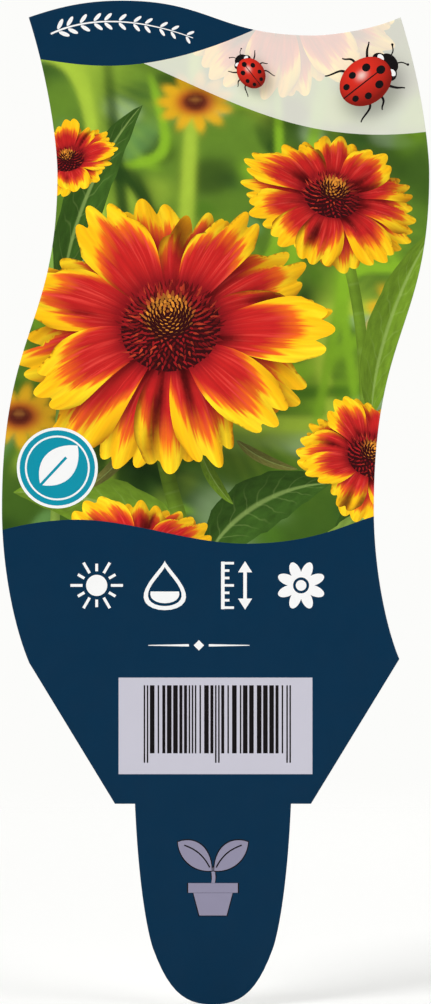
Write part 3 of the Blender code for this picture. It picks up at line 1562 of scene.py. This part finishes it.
@dataclass(frozen=True)
class PetalInk(Finish):
    """A two-tone petal: crimson from the root, yellow at the teeth and down the edges.

    Attributes:
        shade: What a petal's colour turns towards out of the light.
        red_share: How far the red reaches, as a share of the petal's length.
        wander: How much that reach strays with the broad streaks.
        fray: How much it strays with the fine ones.
    """

    crimson: Colour = srgb(134, 8, 22)
    red: Colour = srgb(192, 28, 26)
    rose: Colour = srgb(218, 74, 62)
    orange: Colour = srgb(230, 98, 16)
    yellow: Colour = srgb(251, 186, 2)
    lemon: Colour = srgb(254, 213, 26)
    shade: Colour = (1.0, 0.62, 0.7)
    red_share: float = 0.80
    wander: float = 0.34
    fray: float = 0.38
    edge: float = 0.30
    broad: Point = (2.6, 1.0)
    fine: Point = (11.0, 1.3)
    comb: float = 30.0
    comb_depth: float = 0.04
    contrast: float = 0.25

    def colour(self, surface: Surface) -> None:
        """Sets the petal's colour: its reds, how far they reach, its yellows, and its streaks.

        Args:
            surface: The finish.
        """
        along, across, seed = surface.parts("grain")
        times, step, mix = surface.times, surface.step, surface.mix
        slow = surface.joined(times(across, self.broad[0]), times(along, self.broad[1]), seed)
        quick = surface.joined(times(across, self.fine[0]), times(along, self.fine[1]), seed)
        broad, streak = surface.noise(slow, 1.0), surface.noise(quick, 1.0, 3.0)
        off_axis = surface.maths("POWER", surface.maths("ABSOLUTE", across), 3.0)
        reach = surface.centred(broad, self.wander, self.red_share)
        reach = surface.times_plus(off_axis, -self.edge, reach)
        past = surface.maths("SUBTRACT", along, surface.centred(streak, self.fray, reach))
        tone = mix(step(along, 0.1, 0.45), self.crimson, self.red)
        rosy = times(step(streak, 0.5, 0.72), step(along, 0.2, 0.45))
        tone = mix(times(rosy, 0.55), tone, self.rose)
        tone = mix(step(past, -0.22, 0.0), tone, self.orange)
        gold = mix(step(broad, 0.4, 0.65), self.yellow, self.lemon)
        tone = mix(step(past, -0.05, 0.07), tone, gold)
        comb = surface.maths("SINE", surface.times_plus(across, self.comb, times(broad, 5.0)))
        combed = surface.times_plus(comb, self.comb_depth, 0.98)
        share = times(combed, surface.stray(streak, self.contrast))
        light = surface.light()
        tone = mix(step(light, 0.25, 0.95), mix(1.0, tone, self.shade, "MULTIPLY"), tone)
        surface.printed(surface.scaled(tone, times(share, light)))


@dataclass(frozen=True)
class LeafInk(Finish):
    """A leaf or stalk: its own green, with a pale midrib, faint side veins and a fine blotch.

    Attributes:
        slant: How far the veins lean towards the tip.
        vein_share: How strongly they cover.
    """

    rib: Colour = srgb(176, 204, 112)
    veins: float = 9.0
    slant: float = 1.5
    sway: float = 1.4
    vein_share: float = 0.13
    rib_share: float = 0.42
    blotch: float = 0.45

    def colour(self, surface: Surface) -> None:
        """Sets the leaf's colour: its green and blotches, the veins, and the midrib.

        Args:
            surface: The finish.
        """
        along, across, seed = surface.parts("grain")
        times, step = surface.times, surface.step
        aside = surface.maths("ABSOLUTE", across)
        slant = surface.times_plus(aside, -self.slant, times(along, self.veins))
        sway = surface.noise(surface.joined(across, times(along, 4.0), seed), 1.3)
        slant = surface.times_plus(sway, self.sway, slant)
        vein = times(step(surface.maths("PINGPONG", slant, 0.5), 0.10, 0.0), step(aside, 1.0, 0.3))
        midrib = step(aside, 0.13, 0.03)
        blotch = surface.noise(surface.joined(times(across, 3.0), times(along, 9.0), seed), 1.4, 4.0)
        tone = surface.scaled(surface.tint(), surface.stray(blotch, self.blotch))
        tone = surface.mix(times(vein, self.vein_share), tone, self.rib)
        tone = surface.mix(times(midrib, self.rib_share), tone, self.rib)
        surface.printed(surface.scaled(tone, surface.light()))


@dataclass(frozen=True)
class ShadedInk(Finish):
    """A small shape in its own tint, with the light drawn into it."""

    def colour(self, surface: Surface) -> None:
        """Sets the shape's colour."""
        surface.printed(surface.scaled(surface.tint(), surface.light()))


@dataclass(frozen=True)
class ShellInk(Finish):
    """The beetles' wing cases, with the light and a pale gleam drawn into them."""

    gleam: Colour = srgb(255, 226, 214)
    gleam_share: float = 0.85

    def colour(self, surface: Surface) -> None:
        """Sets the wing cases' colour. Their grain has the gleam in place of along."""
        share = surface.times(surface.parts("grain")[0], self.gleam_share)
        surface.printed(surface.mix(share, surface.scaled(surface.tint(), surface.light()), self.gleam))


@dataclass(frozen=True)
class BareCard(Finish):
    """Unprinted white polystyrene: satin, faintly clouded, with fine rolling texture."""

    white: Colour = srgb(249, 249, 246)
    cloud: float = 0.025
    brightness: float = 0.99

    def colour(self, surface: Surface) -> None:
        """Sets the plastic's colour."""
        cloud = surface.stray(surface.noise(surface.place(), 60.0, 3.0), self.cloud, self.brightness)
        surface.feed(surface.shader.inputs["Base Color"], surface.scaled(self.white, cloud))

    def varnish(self) -> Varnish:
        """Returns the bare plastic's own satin gloss."""
        return Varnish(roughness=0.42, spread=0.06, orange_peel=1400.0, relief=0.012)


FINISHES = {
    Ink.NAVY: PlainInk(srgb(0, 48, 78)),
    Ink.MEADOW: SoftInk(),
    Ink.PETAL: PetalInk(),
    Ink.FLORET: ShadedInk(),
    Ink.LEAF: LeafInk(),
    Ink.SHELL: ShellInk(),
    Ink.WHITE: PlainInk(srgb(250, 250, 250), 0.01),
    Ink.LILAC: PlainInk(srgb(202, 200, 213), 0.015),
    Ink.GREY_LILAC: PlainInk(srgb(146, 142, 166), 0.03),
    Ink.BLACK: PlainInk(srgb(24, 20, 22), 0.03),
    Ink.TEAL: PlainInk(srgb(0, 148, 172), 0.03),
    Ink.CARD: BareCard(),
}


# The sheet itself


@dataclass
class CutEdge:
    """The sheet's cut edge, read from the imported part.

    Attributes:
        roll: Radius at which the edge rolls over from the printed face.
        same_spot: How near each other two of the part's points are one, in metres.
    """

    roll: float = 0.12
    roll_steps: int = 3
    same_spot: float = 1e-6
    mitre_limit: float = 0.2

    def __post_init__(self) -> None:
        """Reads the back face's rim and works out the printed face's rim inside it."""
        low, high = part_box(NODE)
        self.front, self.back = low.y / MM, high.y / MM
        self.outer = self.back_rim()
        self.inner = self.outer + self.outward(self.outer) * -self.roll

    def back_rim(self) -> Array:
        """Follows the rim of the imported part's flat back.

        Returns:
            Its points, anticlockwise as the print is seen.
        """
        bm = bmesh.new()
        bm.from_mesh(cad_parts[NODE].data)
        bmesh.ops.remove_doubles(bm, verts=bm.verts, dist=self.same_spot)
        level = self.back * MM - self.same_spot
        flat = {f for f in bm.faces if all(v.co.y > level for v in f.verts)}
        rim = [e for e in bm.edges if sum(f in flat for f in e.link_faces) == 1]
        follow = {}
        for edge in rim:
            a, b = edge.verts
            follow.setdefault(a, []).append(b)
            follow.setdefault(b, []).append(a)
        start = rim[0].verts[0]
        loop, last, at = [start], start, follow[start][0]
        while at is not start:
            loop.append(at)
            last, at = at, next(v for v in follow[at] if v is not last)
        points = np.array([(v.co.x, v.co.z) for v in loop]) / MM
        bm.free()
        return Cutout(Ink.CARD, points).ring()

    def outward(self, rim: Array) -> Array:
        """Works out the mitred outward direction at each point of a rim.

        Args:
            rim: The rim's points, anticlockwise.

        Returns:
            A step outwards for each point.
        """
        before = rim - np.roll(rim, 1, axis=0)
        after = np.roll(rim, -1, axis=0) - rim
        before /= np.linalg.norm(before, axis=1, keepdims=True)
        after /= np.linalg.norm(after, axis=1, keepdims=True)
        first = np.column_stack([before[:, 1], -before[:, 0]])
        second = np.column_stack([after[:, 1], -after[:, 0]])
        middle = first + second
        return middle / np.maximum(np.sum(middle * first, axis=1, keepdims=True), self.mitre_limit)

    def levels(self) -> list[tuple[float, float]]:
        """Works out where the edge's levels lie: the roll's steps, and the back.

        Returns:
            For each level how far it stands out from the printed face, and how far back it lies.
        """
        made = []
        for step in range(1, self.roll_steps + 1):
            angle = math.pi / 2 * step / self.roll_steps
            out, down = math.sin(angle), 1 - math.cos(angle)
            made.append((self.roll * out, self.front + self.roll * down))
        return [*made, (self.roll, self.back)]


@dataclass
class Painting:
    """Everything printed on one face of the card, in painting order.

    A shadow or a veil changes only what was laid before it.

    Attributes:
        shadows: Soft shadows, each with how many cutouts lie below it and whether it falls on a veil.
        veils: Outlines of veils, each with how many cutouts lie below it and how strongly it covers.
    """

    ground: Cutout
    picture: Cutout | None = None
    meadow: Meadow | None = None
    cutouts: list[Cutout] = field(default_factory=list)
    shadows: list[tuple[int, Blur, bool]] = field(default_factory=list)
    veils: list[tuple[int, Array, float]] = field(default_factory=list)
    pitch: float = 0.6
    row_pitch: float = 0.866
    tolerance: float = 1e-3

    def __post_init__(self) -> None:
        """Lays the ground ink and the picture's field, if there is one."""
        self.lay([self.ground] + ([self.picture] if self.picture else []))

    def lay(self, cutouts: list[Cutout]) -> None:
        """Lays cutouts on top."""
        self.cutouts += cutouts

    def shadow(self, blurs: list[Blur]) -> None:
        """Casts soft shadows on all that is laid so far."""
        self.shadows += [(len(self.cutouts), blur, bool(self.veils)) for blur in blurs]

    def veil(self, outline: Array, share: float) -> None:
        """Covers all that is laid so far inside an outline with a pale veil."""
        self.veils.append((len(self.cutouts), outline, share))

    def light_at(self, number: int, points: Array) -> tuple[Array, Array]:
        """Works out what light the shadows leave on a cutout.

        Args:
            number: Which cutout.
            points: Flat points on it.

        Returns:
            The share left by the shadows under the veil, and the share left by those on it.
        """
        below, above = np.ones(len(points)), np.ones(len(points))
        for order, blur, on_veil in self.shadows:
            if order > number and on_veil:
                above = above * (1 - blur.weight(points))
            elif order > number:
                below = below * (1 - blur.weight(points))
        return below, above

    def tints_at(self, number: int, points: Array) -> Array:
        """Works out the tint of a cutout, which the meadow has point by point.

        Args:
            number: Which cutout.
            points: Flat points on it.

        Returns:
            A colour for each point.
        """
        cutout = self.cutouts[number]
        if cutout.ink is Ink.MEADOW:
            return self.meadow.colour(points)
        return np.tile(cutout.tint, (len(points), 1))

    def ground_points(self) -> Array:
        """Lays out the even, staggered points that carry the soft ground's colours.

        Returns:
            The points, one row each.
        """
        if self.meadow is None:
            return np.empty((0, 2))
        low, high = self.meadow.low, self.meadow.high
        up = np.arange(low[1], high[1], self.pitch * self.row_pitch)
        x, z = np.meshgrid(np.arange(low[0], high[0], self.pitch), up)
        x = x + (np.arange(len(up)) % 2)[:, None] * self.pitch / 2
        return np.column_stack([x.ravel(), z.ravel()])

    def triangulate(self) -> tuple[Array, Array]:
        """Cuts the card's face along the outlines of all cutouts and veils.

        Returns:
            The face's points and its triangles.
        """
        points, edges, first = [], [], 0
        outlines = [refined(c.outline, self.pitch) if c.pictured else c.outline for c in self.cutouts]
        outlines += [refined(veiled, self.pitch) for _, veiled, _ in self.veils]
        for outline in outlines:
            count = len(outline)
            points.append(outline)
            edges += [(first + at, first + (at + 1) % count) for at in range(count)]
            first += count
        points += [c.grid[1:-1, 1:-1].reshape(-1, 2) for c in self.cutouts if c.grid is not None]
        points.append(self.ground_points())
        every = [Vector((x, z)) for x, z in np.vstack(points)]
        # The ground goes in as a face, so that the triangles inside it come back marked as its own.
        ground = [list(range(len(self.ground.outline)))]
        flat, _, tris, _, _, owners = delaunay_2d_cdt(every, edges, ground, 0, self.tolerance)
        inside = [tuple(tri) for tri, owner in zip(tris, owners) if owner]
        return np.array([tuple(p)[:2] for p in flat]), np.array(inside)

    def flatten(self) -> tuple[Array, Array, Array, Array]:
        """Cuts the card's face into regions.

        Returns:
            The face's points, its triangles, and for each triangle the number of the cutout on top
            there and how strongly it is veiled.
        """
        flat, tris = self.triangulate()
        middles = flat[tris].mean(axis=1)
        in_picture = self.picture.covers(middles) if self.picture else np.zeros(len(tris), bool)
        tops = np.zeros(len(tris), int)
        for number, cutout in enumerate(self.cutouts):
            covered = cutout.covers(middles)
            tops[covered & in_picture if cutout.pictured else covered] = number
        veiled = np.zeros(len(tris))
        for order, outline, share in self.veils:
            under = Cutout(Ink.WHITE, outline).covers(middles) & in_picture & (tops < order)
            veiled[under] = share
        return flat, tris, tops, veiled


@dataclass
class BakeMap:
    """Flat layout of the sheet for baking its inks: front, back, and the edge in strips.

    Attributes:
        front: Where the front starts across the layout, and how wide it is.
        back: The same for the back.
        strips: Where the edge's first strip starts.
    """

    bm: Mesh
    front: tuple[float, float] = (0.0, 0.60)
    back: tuple[float, float] = (0.62, 0.30)
    strips: float = 0.935
    strip_pitch: float = 0.0165
    strip_width: float = 0.0145
    strip_length: float = 150.0

    def __post_init__(self) -> None:
        """Adds the map's layer and reads the sheet's size."""
        self.layer = self.bm.loops.layers.uv.new("OFBake")
        low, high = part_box(NODE)
        self.corner, self.wide, self.tall = low, high.x - low.x, high.z - low.z

    def lay_flat(self, face: Face, area: tuple[float, float]) -> None:
        """Lays one triangle of the front or back into its area.

        Args:
            face: The triangle.
            area: Where the area starts across the layout, and how wide it is.
        """
        for loop in face.loops:
            across = (loop.vert.co.x - self.corner.x) / self.wide
            up = (loop.vert.co.z - self.corner.z) / self.tall
            loop[self.layer].uv = (area[0] + area[1] * across, up)

    def lay_edge(self, face: Face, run: float, step: float, level: float,
                 deep: float) -> None:
        """Lays one quad of the edge into a strip.

        Args:
            face: The quad: two corners of one end, then two of the other.
            run: How far along the edge it starts, in millimetres.
            step: How long it is, in millimetres.
            level: Where across the edge it starts, as a share.
            deep: How much of the way across it takes, as a share.
        """
        left = self.strips + run // self.strip_length * self.strip_pitch + level * self.strip_width
        right = left + deep * self.strip_width
        low = run % self.strip_length * MM / self.tall
        high = low + step * MM / self.tall
        for loop, spot in zip(face.loops, ((left, low), (right, low), (right, high), (left, high))):
            loop[self.layer].uv = spot


@dataclass
class PrintedSheet:
    """The label: its two painted faces, and the rolled and cut edge between them.

    Attributes:
        same_point: How near a point of the back lies to the rim where it is the rim's own.
        sharp_turn: The least turn between two faces at which the edge between them is sharp.
    """

    edge: CutEdge
    front: Painting
    back_print: BackPrint
    same_point: float = 1e-3
    sharp_turn: float = 40.0

    def border(self, bm: Mesh) -> tuple[Ring, list[Face]]:
        """Follows the printed face's border, in the direction of its faces.

        Args:
            bm: The printed face.

        Returns:
            The border's vertices, and beside each the face that borders on the edge after it.
        """
        follow = {}
        for edge in bm.edges:
            if len(edge.link_faces) == 1:
                loop = edge.link_loops[0]
                follow[loop.vert] = (loop.link_loop_next.vert, loop.face)
        ring, faces = [next(iter(follow))], []
        while True:
            ahead, face = follow[ring[-1]]
            faces.append(face)
            if ahead is ring[0]:
                return ring, faces
            ring.append(ahead)

    def add_front(self, bm: Mesh, bake_map: BakeMap) -> None:
        """Adds the printed face, with what its inks read at each corner.

        Args:
            bm: The sheet's mesh.
            bake_map: The layout for baking.
        """
        flat, tris, tops, veiled = self.front.flatten()
        log.info("printed face: %d cutouts, %d triangles", len(self.front.cutouts), len(tris))
        tint = bm.loops.layers.float_color.new("tint")
        grain = bm.loops.layers.float_vector.new("grain")
        film = bm.loops.layers.float_vector.new("film")
        light = bm.loops.layers.float.new("light")
        verts = [bm.verts.new((x * MM, self.edge.front * MM, z * MM)) for x, z in flat]
        for top in np.unique(tops).tolist():
            cutout = self.front.cutouts[top]
            rows = np.flatnonzero(tops == top)
            used, places = np.unique(tris[rows], return_inverse=True)
            values = cutout.grain_at(flat[used])
            tints = self.front.tints_at(top, flat[used])
            below, above = self.front.light_at(top, flat[used])
            for row, corners in zip(rows, places.reshape(-1, 3)):
                face = bm.faces.new([verts[i] for i in tris[row]])
                face.material_index = INKS.index(cutout.ink)
                bake_map.lay_flat(face, bake_map.front)
                for loop, at in zip(face.loops, corners):
                    loop[tint] = (*tints[at], 1.0)
                    loop[grain] = (values[at][0], values[at][1], cutout.seed)
                    loop[film] = (veiled[row], above[at], 0.0)
                    loop[light] = values[at][2] * below[at]
        bmesh.ops.delete(bm, geom=[v for v in bm.verts if not v.link_faces], context="VERTS")

    def add_edge(self, bm: Mesh, bake_map: BakeMap) -> Ring:
        """Adds the rolled edge, which carries the print round it, and the bare cut side.

        Args:
            bm: The printed face, which gets the other faces.
            bake_map: The layout for baking.

        Returns:
            The vertices round the back.
        """
        ring, owners = self.border(bm)
        flat = np.array([(v.co.x, v.co.z) for v in ring]) / MM
        turned = Cutout(Ink.CARD, flat).ring() is not flat
        outward = self.edge.outward(flat[::-1])[::-1] if turned else self.edge.outward(flat)
        layers = [bm.loops.layers.float_color["tint"], bm.loops.layers.float["light"]]
        layers += [bm.loops.layers.float_vector[name] for name in ("grain", "film")]
        steps = np.linalg.norm(np.roll(flat, -1, axis=0) - flat, axis=1)
        runs = np.cumsum(steps) - steps
        levels = self.edge.levels()
        above = ring
        for number, (out, depth) in enumerate(levels):
            printed = number < self.edge.roll_steps - 1
            below = [bm.verts.new((x * MM, depth * MM, z * MM)) for x, z in flat + outward * out]
            for at, owner in enumerate(owners):
                ahead = (at + 1) % len(ring)
                face = bm.faces.new([above[at], below[at], below[ahead], above[ahead]])
                face.material_index = owner.material_index if printed else INKS.index(Ink.CARD)
                face.smooth = True
                bake_map.lay_edge(face, runs[at], steps[at], number / len(levels), 1 / len(levels))
                near = {loop.vert: loop for loop in owner.loops}
                for loop, corner in zip(face.loops, (at, at, ahead, ahead)):
                    for layer in layers:
                        loop[layer] = near[ring[corner]][layer]
            above = below
        return above

    def add_back(self, bm: Mesh, bake_map: BakeMap, rim: Ring) -> None:
        """Adds the back.

        Args:
            bm: The sheet's mesh.
            bake_map: The layout for baking.
            rim: The vertices round the back.
        """
        outline = np.array([(v.co.x, v.co.z) for v in rim]) / MM
        painting = Painting(Cutout(Ink.CARD, outline))
        painting.lay(self.back_print.cutouts())
        flat, tris, tops, _ = painting.flatten()
        distances = np.linalg.norm(flat[:, None] - outline[None], axis=2)
        verts = []
        for (x, z), far in zip(flat, distances):
            if far.min() < self.same_point:
                verts.append(rim[far.argmin()])
            else:
                verts.append(bm.verts.new((x * MM, self.edge.back * MM, z * MM)))
        for tri, top in zip(tris, tops):
            face = bm.faces.new([verts[i] for i in tri[::-1]])
            face.material_index = INKS.index(painting.cutouts[top].ink)
            bake_map.lay_flat(face, bake_map.back)

    def piece(self) -> bpy.types.Object:
        """Builds the finished label.

        Returns:
            The label, as one closed mesh.
        """
        bm = bmesh.new()
        bake_map = BakeMap(bm)
        self.add_front(bm, bake_map)
        rim = self.add_edge(bm, bake_map)
        self.add_back(bm, bake_map, rim)
        bmesh.ops.recalc_face_normals(bm, faces=bm.faces)
        mesh = bpy.data.meshes.new(PIECE)
        bm.to_mesh(mesh)
        bm.free()
        for ink in INKS:
            mesh.materials.append(FINISHES[ink].material(ink.value))
        mesh.set_sharp_from_angle(angle=math.radians(self.sharp_turn))
        label = bpy.data.objects.new(PIECE, mesh)
        bpy.context.scene.collection.objects.link(label)
        return label


@dataclass
class FlowerPicture:
    """The drawn plants, in painting order from the farthest to the nearest."""

    fresh: Colour = srgb(112, 146, 36)
    deep: Colour = srgb(58, 92, 28)
    soft: Colour = srgb(134, 164, 66)
    straw: Colour = srgb(122, 122, 56)

    def back_row(self) -> list[Leaf | Stem | Blossom]:
        """Lists the plants that the large blossom casts its shadow on.

        Returns:
            The plants, the farthest first.
        """
        return [
            Stem(((-27.0, 42.0), (-27.0, 60.0), (-24.0, 90.0), (-23.0, 104.0)), 0.8, self.soft, 1),
            Stem(((24.0, 40.0), (27.0, 62.0), (27.0, 84.0), (20.5, 100.0)), 0.95, self.fresh, 2),
            Leaf((20.0, 44.0), (36.5, 72.0), 5.0, -0.16, self.deep, 3),
            Leaf((27.0, 66.0), (38.0, 98.0), 3.2, 0.10, self.fresh, 5),
            Leaf((-25.5, 86.0), (-12.0, 119.0), 3.2, 0.12, self.deep, 6),
            Blossom((13.0, 136.5), 19.0, 22.0, 24.0, 15, 31, florets=150),
            Blossom((-24.5, 109.0), 8.8, 50.0, 14.0, 12, 21, lift=0.45, droop=0.35, florets=150),
            Blossom((20.0, 102.5), 15.5, 44.0, -16.0, 14, 8, florets=230),
            Stem(((-3.0, 40.0), (-6.0, 50.0), (-10.0, 60.0), (-9.0, 70.0)), 1.3, self.fresh, 7),
            Leaf((-4.0, 43.0), (-34.0, 53.0), 4.4, -0.14, self.fresh, 8),
            Leaf((-1.0, 42.0), (20.0, 54.5), 4.4, 0.2, self.deep, 9),
            Leaf((-13.5, 62.0), (-22.0, 53.5), 0.9, 0.1, self.straw, 11, teeth=0),
            Leaf((-2.0, 60.0), (3.5, 51.0), 0.9, -0.1, self.fresh, 12, teeth=0),
            Leaf((4.0, 62.0), (14.5, 57.0), 0.8, -0.12, self.straw, 13, teeth=0),
        ]

    def front_row(self) -> list[Leaf | Stem | Blossom]:
        """Lists the large blossom and what stands in front of it.

        Returns:
            The plants, the farthest first.
        """
        return [
            Blossom((-7.0, 80.0), 27.5, 30.0, 10.0, 17, 3, florets=460),
            Blossom((-12.5, 40.0), 15.5, 38.0, 6.0, 13, 17, florets=60),
            Leaf((14.0, 40.0), (27.0, 52.0), 3.0, -0.2, self.soft, 10),
            Blossom((26.5, 58.5), 13.0, 36.0, -28.0, 13, 14, florets=190),
        ]

    def shadows(self) -> list[Blur]:
        """Returns the soft shadow of the large blossom on the plants behind it."""
        petals = Blur((-5.0, 74.0), 27.0, 22.0, 0.0, BLACK, 0.45, 9.0)
        return [petals, Blur((-6.0, 61.0), 15.0, 8.0, 0.0, BLACK, 0.35, 5.0)]

    def paint(self, painting: Painting) -> None:
        """Paints the plants and the shadow between the two rows.

        Args:
            painting: What they are laid on.
        """
        for plant in self.back_row():
            painting.lay(plant.cutouts())
        painting.shadow(self.shadows())
        for plant in self.front_row():
            painting.lay(plant.cutouts())


# Studio


@dataclass(frozen=True)
class Lamp:
    """A square soft lamp: where it stands and its size, in metres, and its power in watts."""

    name: str
    spot: Triple
    size: float
    power: float

    def hang(self, aim: Triple) -> None:
        """Adds the lamp.

        Args:
            aim: The point it faces.
        """
        data = bpy.data.lights.new(self.name, "AREA")
        data.size, data.energy = self.size, self.power
        lamp = bpy.data.objects.new(self.name, data)
        lamp.location = self.spot
        way = Vector(aim) - Vector(self.spot)
        lamp.rotation_euler = way.to_track_quat("-Z", "Y").to_euler()
        lamp.visible_camera = False
        bpy.context.scene.collection.objects.link(lamp)


@dataclass
class Studio:
    """A pale floor that fades into the white background, soft lamps, and a camera square to the printed
    face.

    The floor's radius and the point that the lamps face are in metres. The floor is solid inside
    floor_full, a share of its radius, and fades out from there.
    """

    picture_height: float = 170.94
    picture_middle: Point = (0.43, 51.4)
    lens: float = 150.0
    sensor: float = 36.0
    floor_gap: float = 0.3
    floor_radius: float = 0.6
    floor_full: float = 0.3
    floor_corners: int = 96
    floor_matt: float = 0.9
    floor_pale: Colour = srgb(248, 248, 247)
    pale: Colour = srgb(252, 252, 250)
    sky_fill: float = 0.45
    sky_gloss: float = 0.028
    aim: Triple = (0.0, 0.0, 0.05)
    lamps: tuple[Lamp, ...] = (
        Lamp("key", (-0.75, -0.75, 0.75), 0.5, 6.9),
        Lamp("top", (0.0, 0.1, 1.3), 1.2, 2.1),
        Lamp("fill", (0.85, -0.65, 0.45), 0.6, 3.6),
        Lamp("back", (0.3, 0.9, 0.7), 0.6, 4.8),
    )

    def camera(self) -> None:
        """Sets up the camera, which takes in what the reference picture does."""
        data = bpy.data.cameras.new("camera")
        data.lens, data.sensor_width = self.lens, self.sensor
        seen = bpy.data.objects.new("camera", data)
        far = self.picture_height * MM * self.lens / self.sensor
        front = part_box(NODE)[0].y
        seen.location = (self.picture_middle[0] * MM, front - far, self.picture_middle[1] * MM)
        seen.rotation_euler = (math.pi / 2, 0.0, 0.0)
        bpy.context.scene.collection.objects.link(seen)
        bpy.context.scene.camera = seen

    def floor(self) -> None:
        """Adds a plain pale floor that fades into the background some way from the label."""
        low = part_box(NODE)[0].z - self.floor_gap * MM
        bpy.ops.mesh.primitive_circle_add(
            vertices=self.floor_corners, radius=self.floor_radius, fill_type="NGON"
        )
        floor = bpy.context.active_object
        floor.name = floor.data.name = "pale_floor"
        floor.location.z = low
        surface = Surface("pale_floor")
        surface.feed(surface.shader.inputs["Base Color"], self.floor_pale)
        surface.feed(surface.shader.inputs["Roughness"], self.floor_matt)
        surface.feed(surface.shader.inputs["Specular IOR Level"], 0.0)
        far = surface.node("VectorMath", {0: surface.place()}, operation="LENGTH").outputs["Value"]
        share = surface.step(far, self.floor_radius, self.floor_radius * self.floor_full)
        surface.feed(surface.shader.inputs["Alpha"], share)
        floor.data.materials.append(surface.material)
        floor.visible_glossy = False

    def sky(self) -> None:
        """Lights the studio softly from all round, with a white background and quiet reflections."""
        world = bpy.data.worlds.new("soft_sky")
        world.use_nodes = True
        nodes = Nodes(world.node_tree)
        background = nodes.tree.nodes["Background"]
        nodes.feed(background.inputs["Color"], self.pale)
        rays = nodes.node("LightPath", {}).outputs
        strength = nodes.times_plus(rays["Is Camera Ray"], 1.0 - self.sky_fill, self.sky_fill)
        strength = nodes.times_plus(rays["Is Glossy Ray"], self.sky_gloss - self.sky_fill, strength)
        nodes.feed(background.inputs["Strength"], strength)
        bpy.context.scene.world = world

    def build(self) -> None:
        """Sets up the whole studio."""
        bpy.context.scene.view_settings.view_transform = "Standard"
        self.sky()
        self.floor()
        for lamp in self.lamps:
            lamp.hang(self.aim)
        self.camera()


def main() -> None:
    """Builds the label and the studio."""
    logging.basicConfig(level=logging.INFO, format="%(name)s: %(message)s")
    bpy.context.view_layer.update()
    edge = CutEdge()
    panels = Panels()
    painting = Painting(Cutout(Ink.NAVY, edge.inner), panels.picture(), Meadow())
    FlowerPicture().paint(painting)
    painting.shadow(panels.veil_shadow())
    painting.veil(panels.veiled(), panels.veil)
    beetles = (Beetle((26.0, 123.0), 9.6, -52.0, 1), Beetle((6.5, 124.4), 5.6, 38.0, 2))
    for beetle in beetles:
        painting.shadow(beetle.shadows())
    signs = (HeaderSprig(), Roundel(), CareSigns(), Rule(), CodePanel(), TongueSign())
    for motif in (*beetles, *signs):
        painting.lay(motif.cutouts())
        log.info("%s drawn", type(motif).__name__)
    label = PrintedSheet(edge, painting, BackPrint()).piece()
    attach(label, BODY)
    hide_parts(NODE)
    log.info("%s: %d faces", label.name, len(label.data.polygons))
    Studio().build()


if __name__ == "__main__":
    main()
